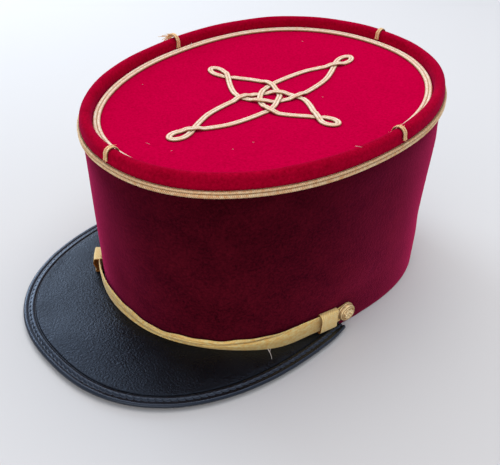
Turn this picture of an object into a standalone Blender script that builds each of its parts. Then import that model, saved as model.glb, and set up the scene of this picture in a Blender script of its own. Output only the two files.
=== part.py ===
"""A kepi cap: a velvet crown with a sunken cloth top, gold braid, a leather peak and a chin strap.

Metres, +Z up. The wearer faces -Y and +X is the wearer's left side. The cap stands on the crown's
bottom edge, and the origin is the bottom centre of the whole cap's box.
"""
import math

import bmesh
import bpy
import numpy as np
from mathutils import Matrix, Vector

MM = 0.001

# Crown outline at the bottom edge, measured from the crown's own middle
BASE_FRONT = 102.0 * MM
BASE_BACK = 102.0 * MM
BASE_HALF_WIDTH = 82.2 * MM
BASE_FULLNESS = 2.36
BASE_EGG = 0.09

# Crown outline at the rim, which leans forward over the peak
TOP_FRONT = 110.0 * MM
TOP_BACK = 101.3 * MM
TOP_HALF_WIDTH = 83.9 * MM
TOP_FULLNESS = 2.13
TOP_EGG = 0.02
TOP_CENTRE_Y = 0.6 * MM

# Height of the rim, which rises evenly from front to back
RIM_FRONT_HEIGHT = 109.1 * MM
RIM_BACK_HEIGHT = 122.9 * MM

# Cloth
CLEAR = 0.3 * MM
SIDE_WALL = 2.0 * MM
SEAM_DROP = 8.8 * MM
RIM_WIDTH = 5.6 * MM
RIM_WALL = 1.8 * MM
RIM_PADDING = 0.5 * MM
DISC_DROP = 7.0 * MM
DISC_WALL = 2.0 * MM
DISC_SAG = 4.8 * MM

# Gold braid
OUTER_BRAID_HEIGHT = 3.9 * MM
OUTER_BRAID_THICK = 1.6 * MM
INNER_BRAID_WIDTH = 3.8 * MM
INNER_BRAID_THICK = 1.2 * MM
INNER_BRAID_GAP = 0.3 * MM
TAB_WIDTH = 4.0 * MM
TAB_THICK = 1.1 * MM
TAB_HEM_GAP = 1.0 * MM
SIDE_SHARE = 0.75

# Knot of flat braid on the top
KNOT_LONG_ARM = 71.0 * MM
KNOT_SIDE_ARM = 47.7 * MM
KNOT_CENTRE_Y = -1.5 * MM
KNOT_BRAID_WIDTH = 3.0 * MM
KNOT_BRAID_THICK = 1.0 * MM
KNOT_LIFT_FLAT = 2.6 * MM
KNOT_LIFT_RAMP = 2.4 * MM

# Leather peak and its binding. The leather's edge is pared down to a tongue under the binding.
PEAK_HALF_WIDTH = 87.3 * MM
PEAK_WIDEST_Y = -37.2 * MM
PEAK_TIP_Y = -153.2 * MM
PEAK_END_Y = -20.0 * MM
PEAK_END_HALF_WIDTH = 85.6 * MM
PEAK_FULLNESS = 2.36
PEAK_THICK = 1.9 * MM
PEAK_TONGUE = 1.1 * MM
PEAK_EDGE_Z = 3.0 * MM
PEAK_ROOT_RISE = 0.6 * MM
BINDING_WIDTH = 6.5 * MM
BINDING_HALF_THICK = 1.25 * MM

# Chin strap, keepers and buttons
STRAP_WIDTH = 12.2 * MM
STRAP_THICK = 0.8 * MM
STRAP_FLARE = 5.2 * MM
KEEPER_LENGTH = 11.6 * MM
KEEPER_WALL = 0.6 * MM
KEEPER_SLACK_LEFT = 0.5 * MM
KEEPER_SLACK_RIGHT = 3.2 * MM
KEEPER_FROM_BUTTON_LEFT = 5.8 * MM
KEEPER_FROM_BUTTON_RIGHT = 71.5 * MM
BUTTON_Y = -18.4 * MM
BUTTON_ABOVE_STRAP = 1.8 * MM
BUTTON_RADIUS = 5.2 * MM
BUTTON_DOME = 3.6 * MM
BUTTON_EDGE = 0.9 * MM
SHANK_RADIUS = 1.5 * MM

# How the strap lies, from the right button (-1) past the front (0) to the left button (1).
# Columns: way, height as a share of its width, how far its lower and its upper edge stand out as
# shares of the flare, and how far it is lifted as a share of what a keeper needs under it.
STRAP_LIE = (
    (-1.00, 1.00, 0.00, 0.00, 1.0),
    (-0.52, 1.00, 0.06, 0.00, 1.0),
    (-0.44, 0.97, 0.14, 0.08, 1.0),
    (-0.34, 0.93, 0.26, 0.16, 1.0),
    (-0.22, 0.88, 0.60, 0.30, 0.3),
    (-0.10, 0.80, 0.92, 0.38, 0.0),
    (0.00, 0.70, 1.00, 0.42, 0.0),
    (0.12, 0.58, 0.70, 0.42, 0.0),
    (0.22, 0.54, 0.30, 0.40, 0.0),
    (0.32, 0.56, 0.14, 0.36, 0.0),
    (0.42, 0.62, 0.26, 0.30, 0.0),
    (0.54, 0.74, 0.40, 0.22, 0.0),
    (0.66, 0.90, 0.38, 0.10, 0.0),
    (0.75, 1.00, 0.20, 0.02, 0.5),
    (0.82, 1.00, 0.00, 0.00, 1.0),
    (1.00, 1.00, 0.00, 0.00, 1.0),
)

# Where the strap lies closest to the crown, how far it does so, how soon it has come away, and
# where its crease runs, as a share of its half-height above the middle
STRAP_CLOSE_WAY = 0.25
STRAP_CLOSE_REACH = 0.20
STRAP_CLOSE_FADE = 0.25
STRAP_CREASE = 0.1

# Facets
AROUND = 72
OUTLINE_SAMPLES = 1440
PEAK_STEPS = 44
STRAP_STEPS = 40
KNOT_STEP = 3.1 * MM
AXIS_TOLERANCE = 0.01 * MM

# One strand of the knot, from the front eyelet's crossing to the left eyelet's crossing.
# Columns: share of the side arm, share of the long arm, 1 where this strand lies over.
KNOT_STRAND = (
    (0.000, -0.793, 0),
    (-0.092, -0.669, None),
    (-0.165, -0.542, None),
    (-0.202, -0.394, None),
    (-0.216, -0.260, None),
    (-0.216, -0.166, 1),
    (-0.186, -0.078, None),
    (-0.130, 0.000, 0),
    (-0.070, 0.062, None),
    (0.000, 0.104, 1),
    (0.100, 0.139, None),
    (0.224, 0.162, 0),
    (0.341, 0.155, None),
    (0.461, 0.116, None),
    (0.582, 0.062, None),
    (0.715, 0.000, 1),
)

# An eyelet beyond its crossing. Columns: share of the way to the tip, half-width as a share of the
# braid's width.
KNOT_EYELET = (
    (0.30, 0.72),
    (0.62, 1.04),
    (0.88, 0.74),
    (1.00, 0.00),
)

GOLD = (0.60, 0.42, 0.14)
CRIMSON = (0.58, 0.003, 0.035)
VELVET = (0.09, 0.004, 0.016)
LEATHER = (0.012, 0.013, 0.016)
BRASS = (0.75, 0.45, 0.16)


# Materials and collections

def material(name, colour, roughness, metallic=0.0):
    made = bpy.data.materials.new(name)
    made.use_nodes = True
    shader = made.node_tree.nodes["Principled BSDF"]
    shader.inputs["Base Color"].default_value = (*colour, 1.0)
    shader.inputs["Roughness"].default_value = roughness
    shader.inputs["Metallic"].default_value = metallic
    made.diffuse_color = (*colour, 1.0)
    return made


def collection(name):
    made = bpy.data.collections.new(name)
    bpy.context.scene.collection.children.link(made)
    return made


# Meshes from sections

def mesh_object(name, points, faces, made_of):
    """A smooth-shaded object of the given points and faces, with its normals turned outwards."""
    mesh = bpy.data.meshes.new(name)
    mesh.from_pydata([tuple(point) for point in points], [], faces)
    shape = bmesh.new()
    shape.from_mesh(mesh)
    bmesh.ops.recalc_face_normals(shape, faces=shape.faces)
    shape.to_mesh(mesh)
    shape.free()
    mesh.shade_smooth()
    mesh.set_sharp_from_angle(angle=math.radians(40))
    mesh.materials.append(made_of)
    made = bpy.data.objects.new(name, mesh)
    PARTS.objects.link(made)
    made.parent = CAP
    return made


def loft(name, sections, made_of, ring=False):
    """Join equal sections, each a closed loop of points, into one body.

    A ring joins the last section to the first. Otherwise the first and last sections are capped.
    """
    sections = np.asarray(sections)
    count, size = sections.shape[:2]
    faces = []
    for row in range(count if ring else count - 1):
        after = (row + 1) % count
        for column in range(size):
            beside = (column + 1) % size
            faces.append((row * size + column, row * size + beside,
                          after * size + beside, after * size + column))
    if not ring:
        faces.append(tuple(range(size)))
        faces.append(tuple(range((count - 1) * size, count * size)))
    return mesh_object(name, sections.reshape(-1, 3), faces, made_of)


# The crown's wall, which everything else is placed on

def oval(front, back, half_width, fullness, egg, centre_y):
    """An egg-shaped superellipse as points (x, y), evenly spaced from the back's middle."""
    turn = np.linspace(0.5 * math.pi, 2.5 * math.pi, OUTLINE_SAMPLES + 1)
    across = np.sign(np.cos(turn)) * np.abs(np.cos(turn)) ** (2 / fullness)
    along = np.sign(np.sin(turn)) * np.abs(np.sin(turn)) ** (2 / fullness)
    x = half_width * across * (1 + egg * along)
    y = np.where(along < 0, front, back) * along + centre_y
    travelled = np.concatenate([[0.0], np.cumsum(np.hypot(np.diff(x), np.diff(y)))])
    share = np.linspace(0.0, 1.0, OUTLINE_SAMPLES + 1)
    return np.stack([np.interp(share * travelled[-1], travelled, x),
                     np.interp(share * travelled[-1], travelled, y)], axis=-1)


def at_share(outline, share):
    """A point of an outline at a share of the way round: 0 back, 0.5 front, above that the left."""
    share = np.asarray(share, dtype=float) % 1.0
    steps = np.linspace(0.0, 1.0, len(outline))
    return np.stack([np.interp(share, steps, outline[:, axis]) for axis in (0, 1)], axis=-1)


def rim_height(y):
    """The rim's height over a y, along the straight rise from its front to its back."""
    way = (y - TOP_CENTRE_Y + TOP_FRONT) / (TOP_FRONT + TOP_BACK)
    return RIM_FRONT_HEIGHT + (RIM_BACK_HEIGHT - RIM_FRONT_HEIGHT) * way


def wall(share, height):
    """A point (x, y) of the crown's outer face at a height."""
    base = at_share(BASE, share)
    top = at_share(TOP, share)
    rise = (np.asarray(height) / rim_height(top[..., 1]))[..., None]
    return base + (top - base) * rise


def skin(share, height, out):
    """A point that lies a distance out from the crown's outer face, measured level."""
    share, height, out = np.broadcast_arrays(np.asarray(share, float), height, out)
    step = 2.0 / OUTLINE_SAMPLES
    tangent = wall(share + step, height) - wall(share - step, height)
    tangent /= np.linalg.norm(tangent, axis=-1, keepdims=True)
    normal = np.stack([tangent[..., 1], -tangent[..., 0]], axis=-1)
    flat = wall(share, height) + normal * out[..., None]
    return np.concatenate([flat, height[..., None]], axis=-1)


def left_share(y):
    """The share at which the bottom edge's left front quarter has this y."""
    quarter = np.linspace(0.5, 0.75, OUTLINE_SAMPLES)
    return float(np.interp(y, at_share(BASE, quarter)[:, 1], quarter))


def rim_profile(gap, crest_points=5):
    """The rim roll's face, moved out by a gap: columns out from the wall, drop below the rim.

    It runs from the seam up the outside, over a half-round crest and down to the sunken top.
    """
    radius = RIM_WIDTH / 2
    turn = np.linspace(0.0, math.pi, crest_points)
    crest = np.stack([(radius + gap) * np.cos(turn) - radius,
                      radius - (radius + gap) * np.sin(turn)], axis=-1)
    seam = (gap, SEAM_DROP - CLEAR / 2)
    hem = (gap, SEAM_DROP - OUTER_BRAID_HEIGHT / 2)
    padded = (gap + RIM_PADDING, (hem[1] + radius) / 2)
    foot = (-RIM_WIDTH - gap, DISC_DROP + DISC_WALL)
    return np.array([seam, hem, padded, *crest, foot])


def crown_rings(profile, shares):
    """Sections round the crown from a profile of (out, drop below the rim)."""
    profile = np.asarray(profile)
    rim = rim_height(at_share(TOP, shares)[:, 1])
    return skin(shares[:, None], rim[:, None] - profile[:, 1], profile[:, 0])


# Crown

def make_crown_side():
    shares = np.arange(AROUND) / AROUND
    top = rim_height(at_share(TOP, shares)[:, 1]) - SEAM_DROP - CLEAR / 2
    bottom = np.zeros(AROUND)
    corners = [(bottom, 0.0), (top, 0.0), (top, -SIDE_WALL), (bottom, -SIDE_WALL)]
    sections = np.stack([skin(shares, height, out) for height, out in corners], axis=1)
    return loft("crown_side", sections, material("velvet", VELVET, 0.9), ring=True)


def make_rim_roll():
    shares = np.arange(AROUND) / AROUND
    outside = rim_profile(0.0)
    seam, _, _, *inside = rim_profile(-RIM_WALL, crest_points=3)
    sections = crown_rings(np.concatenate([outside, inside[::-1], [seam]]), shares)
    return loft("rim_roll", sections, material("crimson_cloth", CRIMSON, 0.85), ring=True)


def disc_depth(share_out):
    """How far the sunken top lies below the rim's plane, at a share of the way to its edge."""
    return DISC_DROP + DISC_SAG * (1 - share_out ** 2)


def disc_point(share, share_out, up):
    """A point of the sunken top, a height above its cloth."""
    share, share_out = np.broadcast_arrays(np.asarray(share, float), share_out)
    top = at_share(TOP, share)
    edge_z = rim_height(top[..., 1]) - DISC_DROP
    edge = skin(share, edge_z, -RIM_WIDTH - CLEAR)[..., :2]
    flat = DISC_MIDDLE + (edge - DISC_MIDDLE) * share_out[..., None]
    height = rim_height(flat[..., 1]) - disc_depth(share_out) + up
    return np.concatenate([flat, height[..., None]], axis=-1)


def make_top_disc():
    shares = np.arange(AROUND) / AROUND
    steps = np.array([0.08, 0.45, 0.75, 1.0])
    upper = [disc_point(shares, step, 0.0) for step in steps]
    lower = [disc_point(shares, step, -DISC_WALL) for step in steps[::-1]]
    return loft("top_disc", upper + lower, material("top_cloth", CRIMSON, 0.8))


# Braid

def make_outer_braid():
    shares = np.arange(AROUND) / AROUND
    half = OUTER_BRAID_HEIGHT / 2
    back = CLEAR
    face = CLEAR + OUTER_BRAID_THICK
    profile = [(back, SEAM_DROP + half), (face - 0.35 * OUTER_BRAID_THICK, SEAM_DROP + half),
               (face, SEAM_DROP + 0.55 * half), (face - 0.3 * OUTER_BRAID_THICK, SEAM_DROP),
               (face, SEAM_DROP - 0.55 * half), (face - 0.35 * OUTER_BRAID_THICK, SEAM_DROP - half),
               (back, SEAM_DROP - half)]
    return loft("outer_braid", crown_rings(profile, shares), GOLD_BRAID, ring=True)


def make_inner_braid():
    shares = np.arange(AROUND) / AROUND
    edge = np.linalg.norm(disc_point(shares, 1.0, 0.0)[:, :2] - DISC_MIDDLE, axis=-1)
    outer = 1 - INNER_BRAID_GAP / edge
    inner = 1 - (INNER_BRAID_GAP + INNER_BRAID_WIDTH) / edge
    shoulder = 0.2 * (outer - inner)
    low = CLEAR
    mid = CLEAR + 0.6 * INNER_BRAID_THICK
    high = CLEAR + INNER_BRAID_THICK
    loop = [(outer, low), (outer, mid), (outer - shoulder, high), (inner + shoulder, high),
            (inner, mid), (inner, low)]
    sections = np.stack([disc_point(shares, step, up) for step, up in loop], axis=1)
    return loft("inner_braid", sections, GOLD_BRAID, ring=True)


def make_rim_tab(name, share):
    """A short length of braid folded over the rim, from the inner braid to near the outer one."""
    low = CLEAR
    high = CLEAR + TAB_THICK
    end_drop = SEAM_DROP - OUTER_BRAID_HEIGHT / 2 - TAB_HEM_GAP
    foot_drop = DISC_DROP - 2 * CLEAR - INNER_BRAID_THICK
    under = rim_profile(low)[1:]
    over = rim_profile(high)[1:]
    for profile in (under, over):
        profile[0] = (profile[0, 0], end_drop)
        profile[-1] = (profile[-1, 0], foot_drop)
    middle = at_share(TOP, share)
    rim = rim_height(middle[1])
    lower = skin(share, rim - under[:, 1], under[:, 0])
    upper = skin(share, rim - over[:, 1], over[:, 0])
    across = skin(share + 1 / OUTLINE_SAMPLES, rim, 0.0) - skin(share - 1 / OUTLINE_SAMPLES, rim, 0.0)
    across *= 0.5 * TAB_WIDTH / np.linalg.norm(across)
    sections = np.stack([lower - across, lower + across, upper + across, upper - across], axis=1)
    return loft(name, sections, GOLD_BRAID)


def smooth_path(points, samples):
    """A closed curve through points, by Catmull-Rom splines, with each sample's own parameter."""
    points = np.asarray(points)
    place = np.arange(len(points) * samples) / samples
    index = place.astype(int)
    part = (place - index)[:, None]
    before, start, end, after = (points[(index + shift) % len(points)] for shift in (-1, 0, 1, 2))
    curve = start + 0.5 * part * (end - before + part * (2 * before - 5 * start + 4 * end - after
                                  + part * (3 * (start - end) + after - before)))
    return curve, place


def knot_route():
    """The knot's closed route in plan, and the numbers of the points where it lies over.

    The strand is repeated four times: as it is, mirrored and backwards, turned by half a turn,
    and mirrored the other way, with an eyelet between each two.
    """
    strand = np.array([(x, y) for x, y, _ in KNOT_STRAND]) * (KNOT_SIDE_ARM, KNOT_LONG_ARM)
    over = np.array([bool(flag) for _, _, flag in KNOT_STRAND])
    crossing = np.array([flag is not None for _, _, flag in KNOT_STRAND])
    tips = {"left": (KNOT_SIDE_ARM, 0.0), "back": (0.0, KNOT_LONG_ARM),
            "right": (-KNOT_SIDE_ARM, 0.0), "front": (0.0, -KNOT_LONG_ARM)}
    legs = [("left", (1, 1), False), ("back", (1, -1), True),
            ("right", (-1, -1), False), ("front", (-1, 1), True)]
    route = []
    lifted = []
    for tip_name, mirror, backwards in legs:
        leg = strand * mirror
        flags = over if not backwards else crossing & ~over
        if backwards:
            leg = leg[::-1]
            flags = flags[::-1]
        lifted += [len(route) + number for number in np.flatnonzero(flags)]
        route += list(leg)
        tip = np.array(tips[tip_name])
        reach = tip - leg[-1]
        side = np.array([-reach[1], reach[0]]) / np.linalg.norm(reach)
        if np.dot(side, leg[-1] - leg[-2]) < 0:
            side = -side
        rows = [leg[-1] + reach * share + side * half * KNOT_BRAID_WIDTH
                for share, half in KNOT_EYELET]
        back_rows = [leg[-1] + reach * share - side * half * KNOT_BRAID_WIDTH
                     for share, half in KNOT_EYELET[-2::-1]]
        route += rows + back_rows
    return np.array(route), lifted


def make_knot():
    """One closed loop of flat braid that passes over and under itself and lies on the top."""
    route, lifted = knot_route()
    samples = 12
    curve, place = smooth_path(route, samples)
    curve[:, 1] += KNOT_CENTRE_Y
    steps = np.linalg.norm(np.roll(curve, -1, axis=0) - curve, axis=-1)
    travelled = np.concatenate([[0.0], np.cumsum(steps)])
    length = travelled[-1]
    count = int(round(length / KNOT_STEP))
    wanted = np.arange(count) * length / count
    closed = np.concatenate([curve, curve[:1]])
    path = np.stack([np.interp(wanted, travelled, closed[:, axis]) for axis in (0, 1)], axis=-1)
    tops = travelled[np.array(lifted) * samples]
    apart = np.abs(wanted[:, None] - tops)
    apart = np.minimum(apart, length - apart).min(axis=1)
    ramp = np.clip((KNOT_LIFT_FLAT + KNOT_LIFT_RAMP - apart) / KNOT_LIFT_RAMP, 0.0, 1.0)
    lift = (KNOT_BRAID_THICK + CLEAR) * ramp * ramp * (3 - 2 * ramp)
    tangent = np.roll(path, -1, axis=0) - np.roll(path, 1, axis=0)
    tangent /= np.linalg.norm(tangent, axis=-1, keepdims=True)
    normal = np.stack([tangent[:, 1], -tangent[:, 0]], axis=-1)
    half = KNOT_BRAID_WIDTH / 2
    loop = [(-half, 0.15), (-half, 0.6), (-0.6 * half, 1.0), (0.6 * half, 1.0),
            (half, 0.6), (half, 0.15), (0.0, 0.0)]
    sections = []
    for out, up in loop:
        flat = path + normal * out
        height = disc_height(flat) + CLEAR + lift + up * KNOT_BRAID_THICK
        sections.append(np.concatenate([flat, height[:, None]], axis=-1))
    return loft("top_knot", np.stack(sections, axis=1), GOLD_BRAID, ring=True)


def disc_height(flat):
    """The height of the sunken top's cloth over points (x, y)."""
    edge = disc_point(np.arange(AROUND) / AROUND, 1.0, 0.0)[:, :2] - DISC_MIDDLE
    turn = np.unwrap(np.arctan2(edge[:, 1], edge[:, 0]))
    reach = np.linalg.norm(edge, axis=-1)
    away = flat - DISC_MIDDLE
    around = np.arctan2(away[:, 1], away[:, 0])
    share_out = np.linalg.norm(away, axis=-1) / np.interp(around, turn, reach, period=2 * math.pi)
    return rim_height(flat[:, 1]) - disc_depth(share_out)


# Peak

def peak_outline(steps):
    """The peak's outer edge in plan, from its right end round the tip to its left end."""
    turn = np.linspace(0.0, math.pi, OUTLINE_SAMPLES)
    reach = PEAK_WIDEST_Y - PEAK_TIP_Y
    x = -PEAK_HALF_WIDTH * np.sign(np.cos(turn)) * np.abs(np.cos(turn)) ** (2 / PEAK_FULLNESS)
    y = PEAK_WIDEST_Y - reach * np.sin(turn) ** (2 / PEAK_FULLNESS)
    back = np.linspace(1.0, 0.0, OUTLINE_SAMPLES // 6, endpoint=False)
    end_x = PEAK_HALF_WIDTH - (PEAK_HALF_WIDTH - PEAK_END_HALF_WIDTH) * back ** 2
    end_y = PEAK_WIDEST_Y + (PEAK_END_Y - PEAK_WIDEST_Y) * back
    x = np.concatenate([-end_x, x, end_x[::-1]])
    y = np.concatenate([end_y, y, end_y[::-1]])
    travelled = np.concatenate([[0.0], np.cumsum(np.hypot(np.diff(x), np.diff(y)))])
    wanted = np.linspace(0.0, travelled[-1], steps)
    return np.stack([np.interp(wanted, travelled, x), np.interp(wanted, travelled, y)], axis=-1)


def peak_frame():
    """The peak's edge points, its root points on the crown, and the inward way and room at each."""
    edge = peak_outline(PEAK_STEPS + 1)
    left_end = left_share(PEAK_END_Y)
    root_shares = np.linspace(1 - left_end, left_end, PEAK_STEPS + 1)
    root = skin(root_shares, PEAK_EDGE_Z, CLEAR)[:, :2]
    tangent = np.gradient(edge, axis=0)
    tangent /= np.linalg.norm(tangent, axis=-1, keepdims=True)
    inward = np.stack([-tangent[:, 1], tangent[:, 0]], axis=-1)
    room = np.linalg.norm(root - edge, axis=-1)
    scale = np.minimum(1.0, (room - 4 * CLEAR) / BINDING_WIDTH)
    return edge, root, inward, scale


def peak_binding_profile():
    """The binding's loop: columns in from the edge, height over the peak's mid-plane.

    A round bead at the edge, a groove, a raised line, and a flange that covers the leather's tongue.
    """
    high = BINDING_HALF_THICK
    under = TONGUE_TOP + CLEAR
    thin = high - under
    return np.array([
        (0.0, 0.0), (0.05 * BINDING_WIDTH, 0.65 * high), (0.2 * BINDING_WIDTH, high),
        (0.4 * BINDING_WIDTH, under + 0.45 * thin), (0.56 * BINDING_WIDTH, under + 0.5 * thin),
        (0.77 * BINDING_WIDTH, high), (0.93 * BINDING_WIDTH, under + 0.6 * thin),
        (BINDING_WIDTH, under + 0.5 * thin), (BINDING_WIDTH, under), (BINDING_BITE, under),
        (BINDING_BITE, -high), (0.2 * BINDING_WIDTH, -high), (0.05 * BINDING_WIDTH, -0.65 * high)])


def make_peak():
    """A leather plate from its pared tongue, under the binding's flange, to its root at the crown."""
    edge, root, inward, scale = peak_frame()
    tongue = edge + inward * (BINDING_BITE * scale + CLEAR)[:, None]
    step = edge + inward * (BINDING_WIDTH * scale + CLEAR)[:, None]
    room = np.linalg.norm(root - step, axis=-1)
    rise = PEAK_ROOT_RISE * room / room.max()
    body = ((step, 0.0), ((step + root) / 2, 0.4), (root, 1.0))
    upper = [np.column_stack([flat, np.full(len(flat), PEAK_EDGE_Z + TONGUE_TOP)])
             for flat in (tongue, step)]
    upper += [np.column_stack([flat, PEAK_EDGE_Z + risen * rise + PEAK_THICK / 2])
              for flat, risen in body]
    lower = [np.column_stack([flat, PEAK_EDGE_Z + risen * rise - PEAK_THICK / 2])
             for flat, risen in ((tongue, 0.0), *body)]
    sections = np.stack(upper + lower[::-1], axis=1)
    return loft("peak", sections, material("leather", LEATHER, 0.45))


def make_peak_binding():
    edge, _, inward, scale = peak_frame()
    sections = []
    for inset, up in peak_binding_profile():
        flat = edge + inward * (inset * scale)[:, None]
        sections.append(np.column_stack([flat, np.full(len(flat), PEAK_EDGE_Z + up)]))
    return loft("peak_binding", np.stack(sections, axis=1), material("binding", LEATHER, 0.3))


# Chin strap

def strap_way(share):
    """-1 at the right button, 0 at the front, 1 at the left button."""
    return (np.asarray(share) - 0.5) / (BUTTON_SHARE - 0.5)


def strap_lie(share, column):
    """A column of the strap's table at a share of the way round, between its rows by a line."""
    rows = np.array(STRAP_LIE)
    return np.interp(strap_way(share), rows[:, 0], rows[:, column])


def strap_half(share):
    """Half of the strap's height: less where it is creased lengthwise."""
    return STRAP_WIDTH / 2 * strap_lie(share, 1)


def strap_height(share):
    """The height of the strap's middle line. Its lower edge rests on the peak, or on a keeper."""
    return STRAP_FOOT_Z + (CLEAR + KEEPER_WALL) * strap_lie(share, 4) + strap_half(share)


def strap_out(share):
    """How far the strap's inner face stands off the crown: a keeper's wall fits behind most of it."""
    away = (np.abs(strap_way(share) - STRAP_CLOSE_WAY) - STRAP_CLOSE_REACH) / STRAP_CLOSE_FADE
    near = np.clip(away, 0.0, 1.0)
    return CLEAR + (STRAP_SEAT - CLEAR) * near * near * (3 - 2 * near)


def make_chin_strap():
    """Flat lace from button to button, creased lengthwise at the front, with round ends."""
    end = STRAP_WIDTH / 2
    turn = np.linspace(0.08, 0.5, 5)[:-1] * math.pi
    size = np.sin(turn)
    reach = end * np.cos(turn) / PERIMETER
    middle = np.linspace(1 - BUTTON_SHARE, BUTTON_SHARE, STRAP_STEPS + 1)
    shares = np.concatenate([1 - BUTTON_SHARE - reach, middle, BUTTON_SHARE + reach[::-1]])
    size = np.concatenate([size, np.ones(len(middle)), size[::-1]])
    half = strap_half(shares) * size
    centre = strap_height(shares)
    seat = strap_out(shares)
    rows = [(-1.0, STRAP_FLARE * strap_lie(shares, 2)), (STRAP_CREASE, np.zeros(len(shares))),
            (1.0, STRAP_FLARE * strap_lie(shares, 3))]
    inner = [skin(shares, centre + side * half, seat + away) for side, away in rows]
    outer = [skin(shares, centre + side * half, seat + away + STRAP_THICK) for side, away in rows]
    strap = loft("chin_strap", np.stack(inner + outer[::-1], axis=1), GOLD_LACE)
    for side in (-1, 1):
        hole = strap.modifiers.new("shank hole", "BOOLEAN")
        hole.object = make_hole_cutter(side)
        hole.operation = "DIFFERENCE"
        hole.solver = "EXACT"
    return strap


def button_matrix(side):
    """A button's place: its axis points level out of the crown, from the crown's outer face."""
    share = BUTTON_SHARE if side > 0 else 1 - BUTTON_SHARE
    height = strap_height(share) + BUTTON_ABOVE_STRAP
    foot = skin(share, height, 0.0)
    away = Vector(skin(share, height, 1.0) - foot)
    turn = away.to_track_quat("Z", "Y").to_matrix().to_4x4()
    return Matrix.Translation(Vector(foot)) @ turn


def make_hole_cutter(side):
    length = 4 * (STRAP_SEAT + STRAP_THICK)
    shape = bmesh.new()
    bmesh.ops.create_cone(shape, cap_ends=True, segments=12, radius1=SHANK_RADIUS + CLEAR,
                          radius2=SHANK_RADIUS + CLEAR, depth=length)
    mesh = bpy.data.meshes.new("shank_cutter")
    shape.to_mesh(mesh)
    shape.free()
    cutter = bpy.data.objects.new("shank_cutter_" + ("left" if side > 0 else "right"), mesh)
    CUTTERS.objects.link(cutter)
    cutter.parent = CAP
    cutter.matrix_local = button_matrix(side)
    cutter.hide_render = True
    cutter.display_type = "WIRE"
    return cutter


def soft_rectangle(half_wide, half_high, corner):
    """A rectangle with three points round each corner, as its two coordinates."""
    turn = np.linspace(0.0, 0.5 * math.pi, 3)
    wide = []
    high = []
    for quarter in range(4):
        angle = turn + quarter * 0.5 * math.pi
        middle = 0.25 * math.pi + quarter * 0.5 * math.pi
        wide.append(np.sign(math.cos(middle)) * (half_wide - corner) + corner * np.cos(angle))
        high.append(np.sign(math.sin(middle)) * (half_high - corner) + corner * np.sin(angle))
    return np.concatenate(wide), np.concatenate(high)


def make_keeper(name, side, from_button, slack):
    """A flat band of lace round the strap, at a distance from its button, with room to slide."""
    first = BUTTON_SHARE - (from_button + KEEPER_LENGTH) / PERIMETER
    last = BUTTON_SHARE - from_button / PERIMETER
    along = np.linspace(first, last, 3)
    if side < 0:
        along = 1 - along
    half_deep = (STRAP_THICK + 2 * CLEAR + slack) / 2
    half_high = STRAP_WIDTH / 2 + CLEAR
    loops = []
    for extra in (0.0, KEEPER_WALL):
        across, up = soft_rectangle(half_deep + extra, half_high + extra, CLEAR + extra)
        out = CLEAR + KEEPER_WALL + half_deep + across
        loops.append([skin(share, KEEPER_Z + up, out) for share in along])
    inner, outer = loops
    rows = inner + outer[::-1]
    sections = np.stack(rows, axis=1)
    return loft(name, sections, GOLD_LACE, ring=True)


def make_button(name, side):
    """A domed button on a shank that passes through the strap and stops at the crown."""
    seat = STRAP_SEAT + STRAP_THICK + CLEAR
    turn = np.linspace(0.5 * math.pi, 0.0, 6)
    profile = [(BUTTON_RADIUS * math.cos(a), seat + BUTTON_EDGE + BUTTON_DOME * math.sin(a))
               for a in turn]
    profile += [(BUTTON_RADIUS, seat), (SHANK_RADIUS, seat), (SHANK_RADIUS, CLEAR), (0.0, CLEAR)]
    mesh = bpy.data.meshes.new(name)
    points = [(0.0 if radius < AXIS_TOLERANCE else radius, 0.0, up) for radius, up in profile]
    edges = [(number, number + 1) for number in range(len(points) - 1)]
    mesh.from_pydata(points, edges, [])
    mesh.materials.append(BUTTON_BRASS)
    made = bpy.data.objects.new(name, mesh)
    PARTS.objects.link(made)
    made.parent = CAP
    made.matrix_local = button_matrix(side)
    screw = made.modifiers.new("turned", "SCREW")
    screw.angle = 2 * math.pi
    screw.steps = 20
    screw.render_steps = 20
    screw.use_merge_vertices = True
    screw.merge_threshold = AXIS_TOLERANCE
    screw.use_smooth_shade = True
    return made


# The cap

for existing in list(bpy.data.objects):
    bpy.data.objects.remove(existing)

BASE = oval(BASE_FRONT, BASE_BACK, BASE_HALF_WIDTH, BASE_FULLNESS, BASE_EGG, 0.0)
TOP = oval(TOP_FRONT, TOP_BACK, TOP_HALF_WIDTH, TOP_FULLNESS, TOP_EGG, TOP_CENTRE_Y)
PERIMETER = float(np.linalg.norm(np.diff(BASE, axis=0), axis=-1).sum())
DISC_MIDDLE = np.array([0.0, TOP_CENTRE_Y])
BUTTON_SHARE = left_share(BUTTON_Y)
BINDING_BITE = 0.42 * BINDING_WIDTH
TONGUE_TOP = PEAK_TONGUE - PEAK_THICK / 2
PEAK_ROOT_TOP = PEAK_EDGE_Z + PEAK_THICK / 2 + PEAK_ROOT_RISE
STRAP_SEAT = 2 * CLEAR + KEEPER_WALL
STRAP_FOOT_Z = PEAK_ROOT_TOP + CLEAR
KEEPER_Z = STRAP_FOOT_Z + CLEAR + KEEPER_WALL + STRAP_WIDTH / 2

# The cap's box runs from the peak's tip to the outer braid at the back
BRAID_BACK = skin(0.0, rim_height(TOP[0, 1]) - SEAM_DROP, CLEAR + OUTER_BRAID_THICK)[1]
CROWN_Y = -(BRAID_BACK + PEAK_TIP_Y) / 2

PARTS = collection("kepi_cap")
CUTTERS = collection("cutters")
GOLD_BRAID = material("gold_braid", GOLD, 0.45, 0.6)
GOLD_LACE = material("gold_lace", GOLD, 0.4, 0.6)
BUTTON_BRASS = material("button_brass", BRASS, 0.25, 1.0)
CAP = bpy.data.objects.new("crown_middle", None)
bpy.context.scene.collection.objects.link(CAP)
CAP.location = (0.0, CROWN_Y, 0.0)

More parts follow.
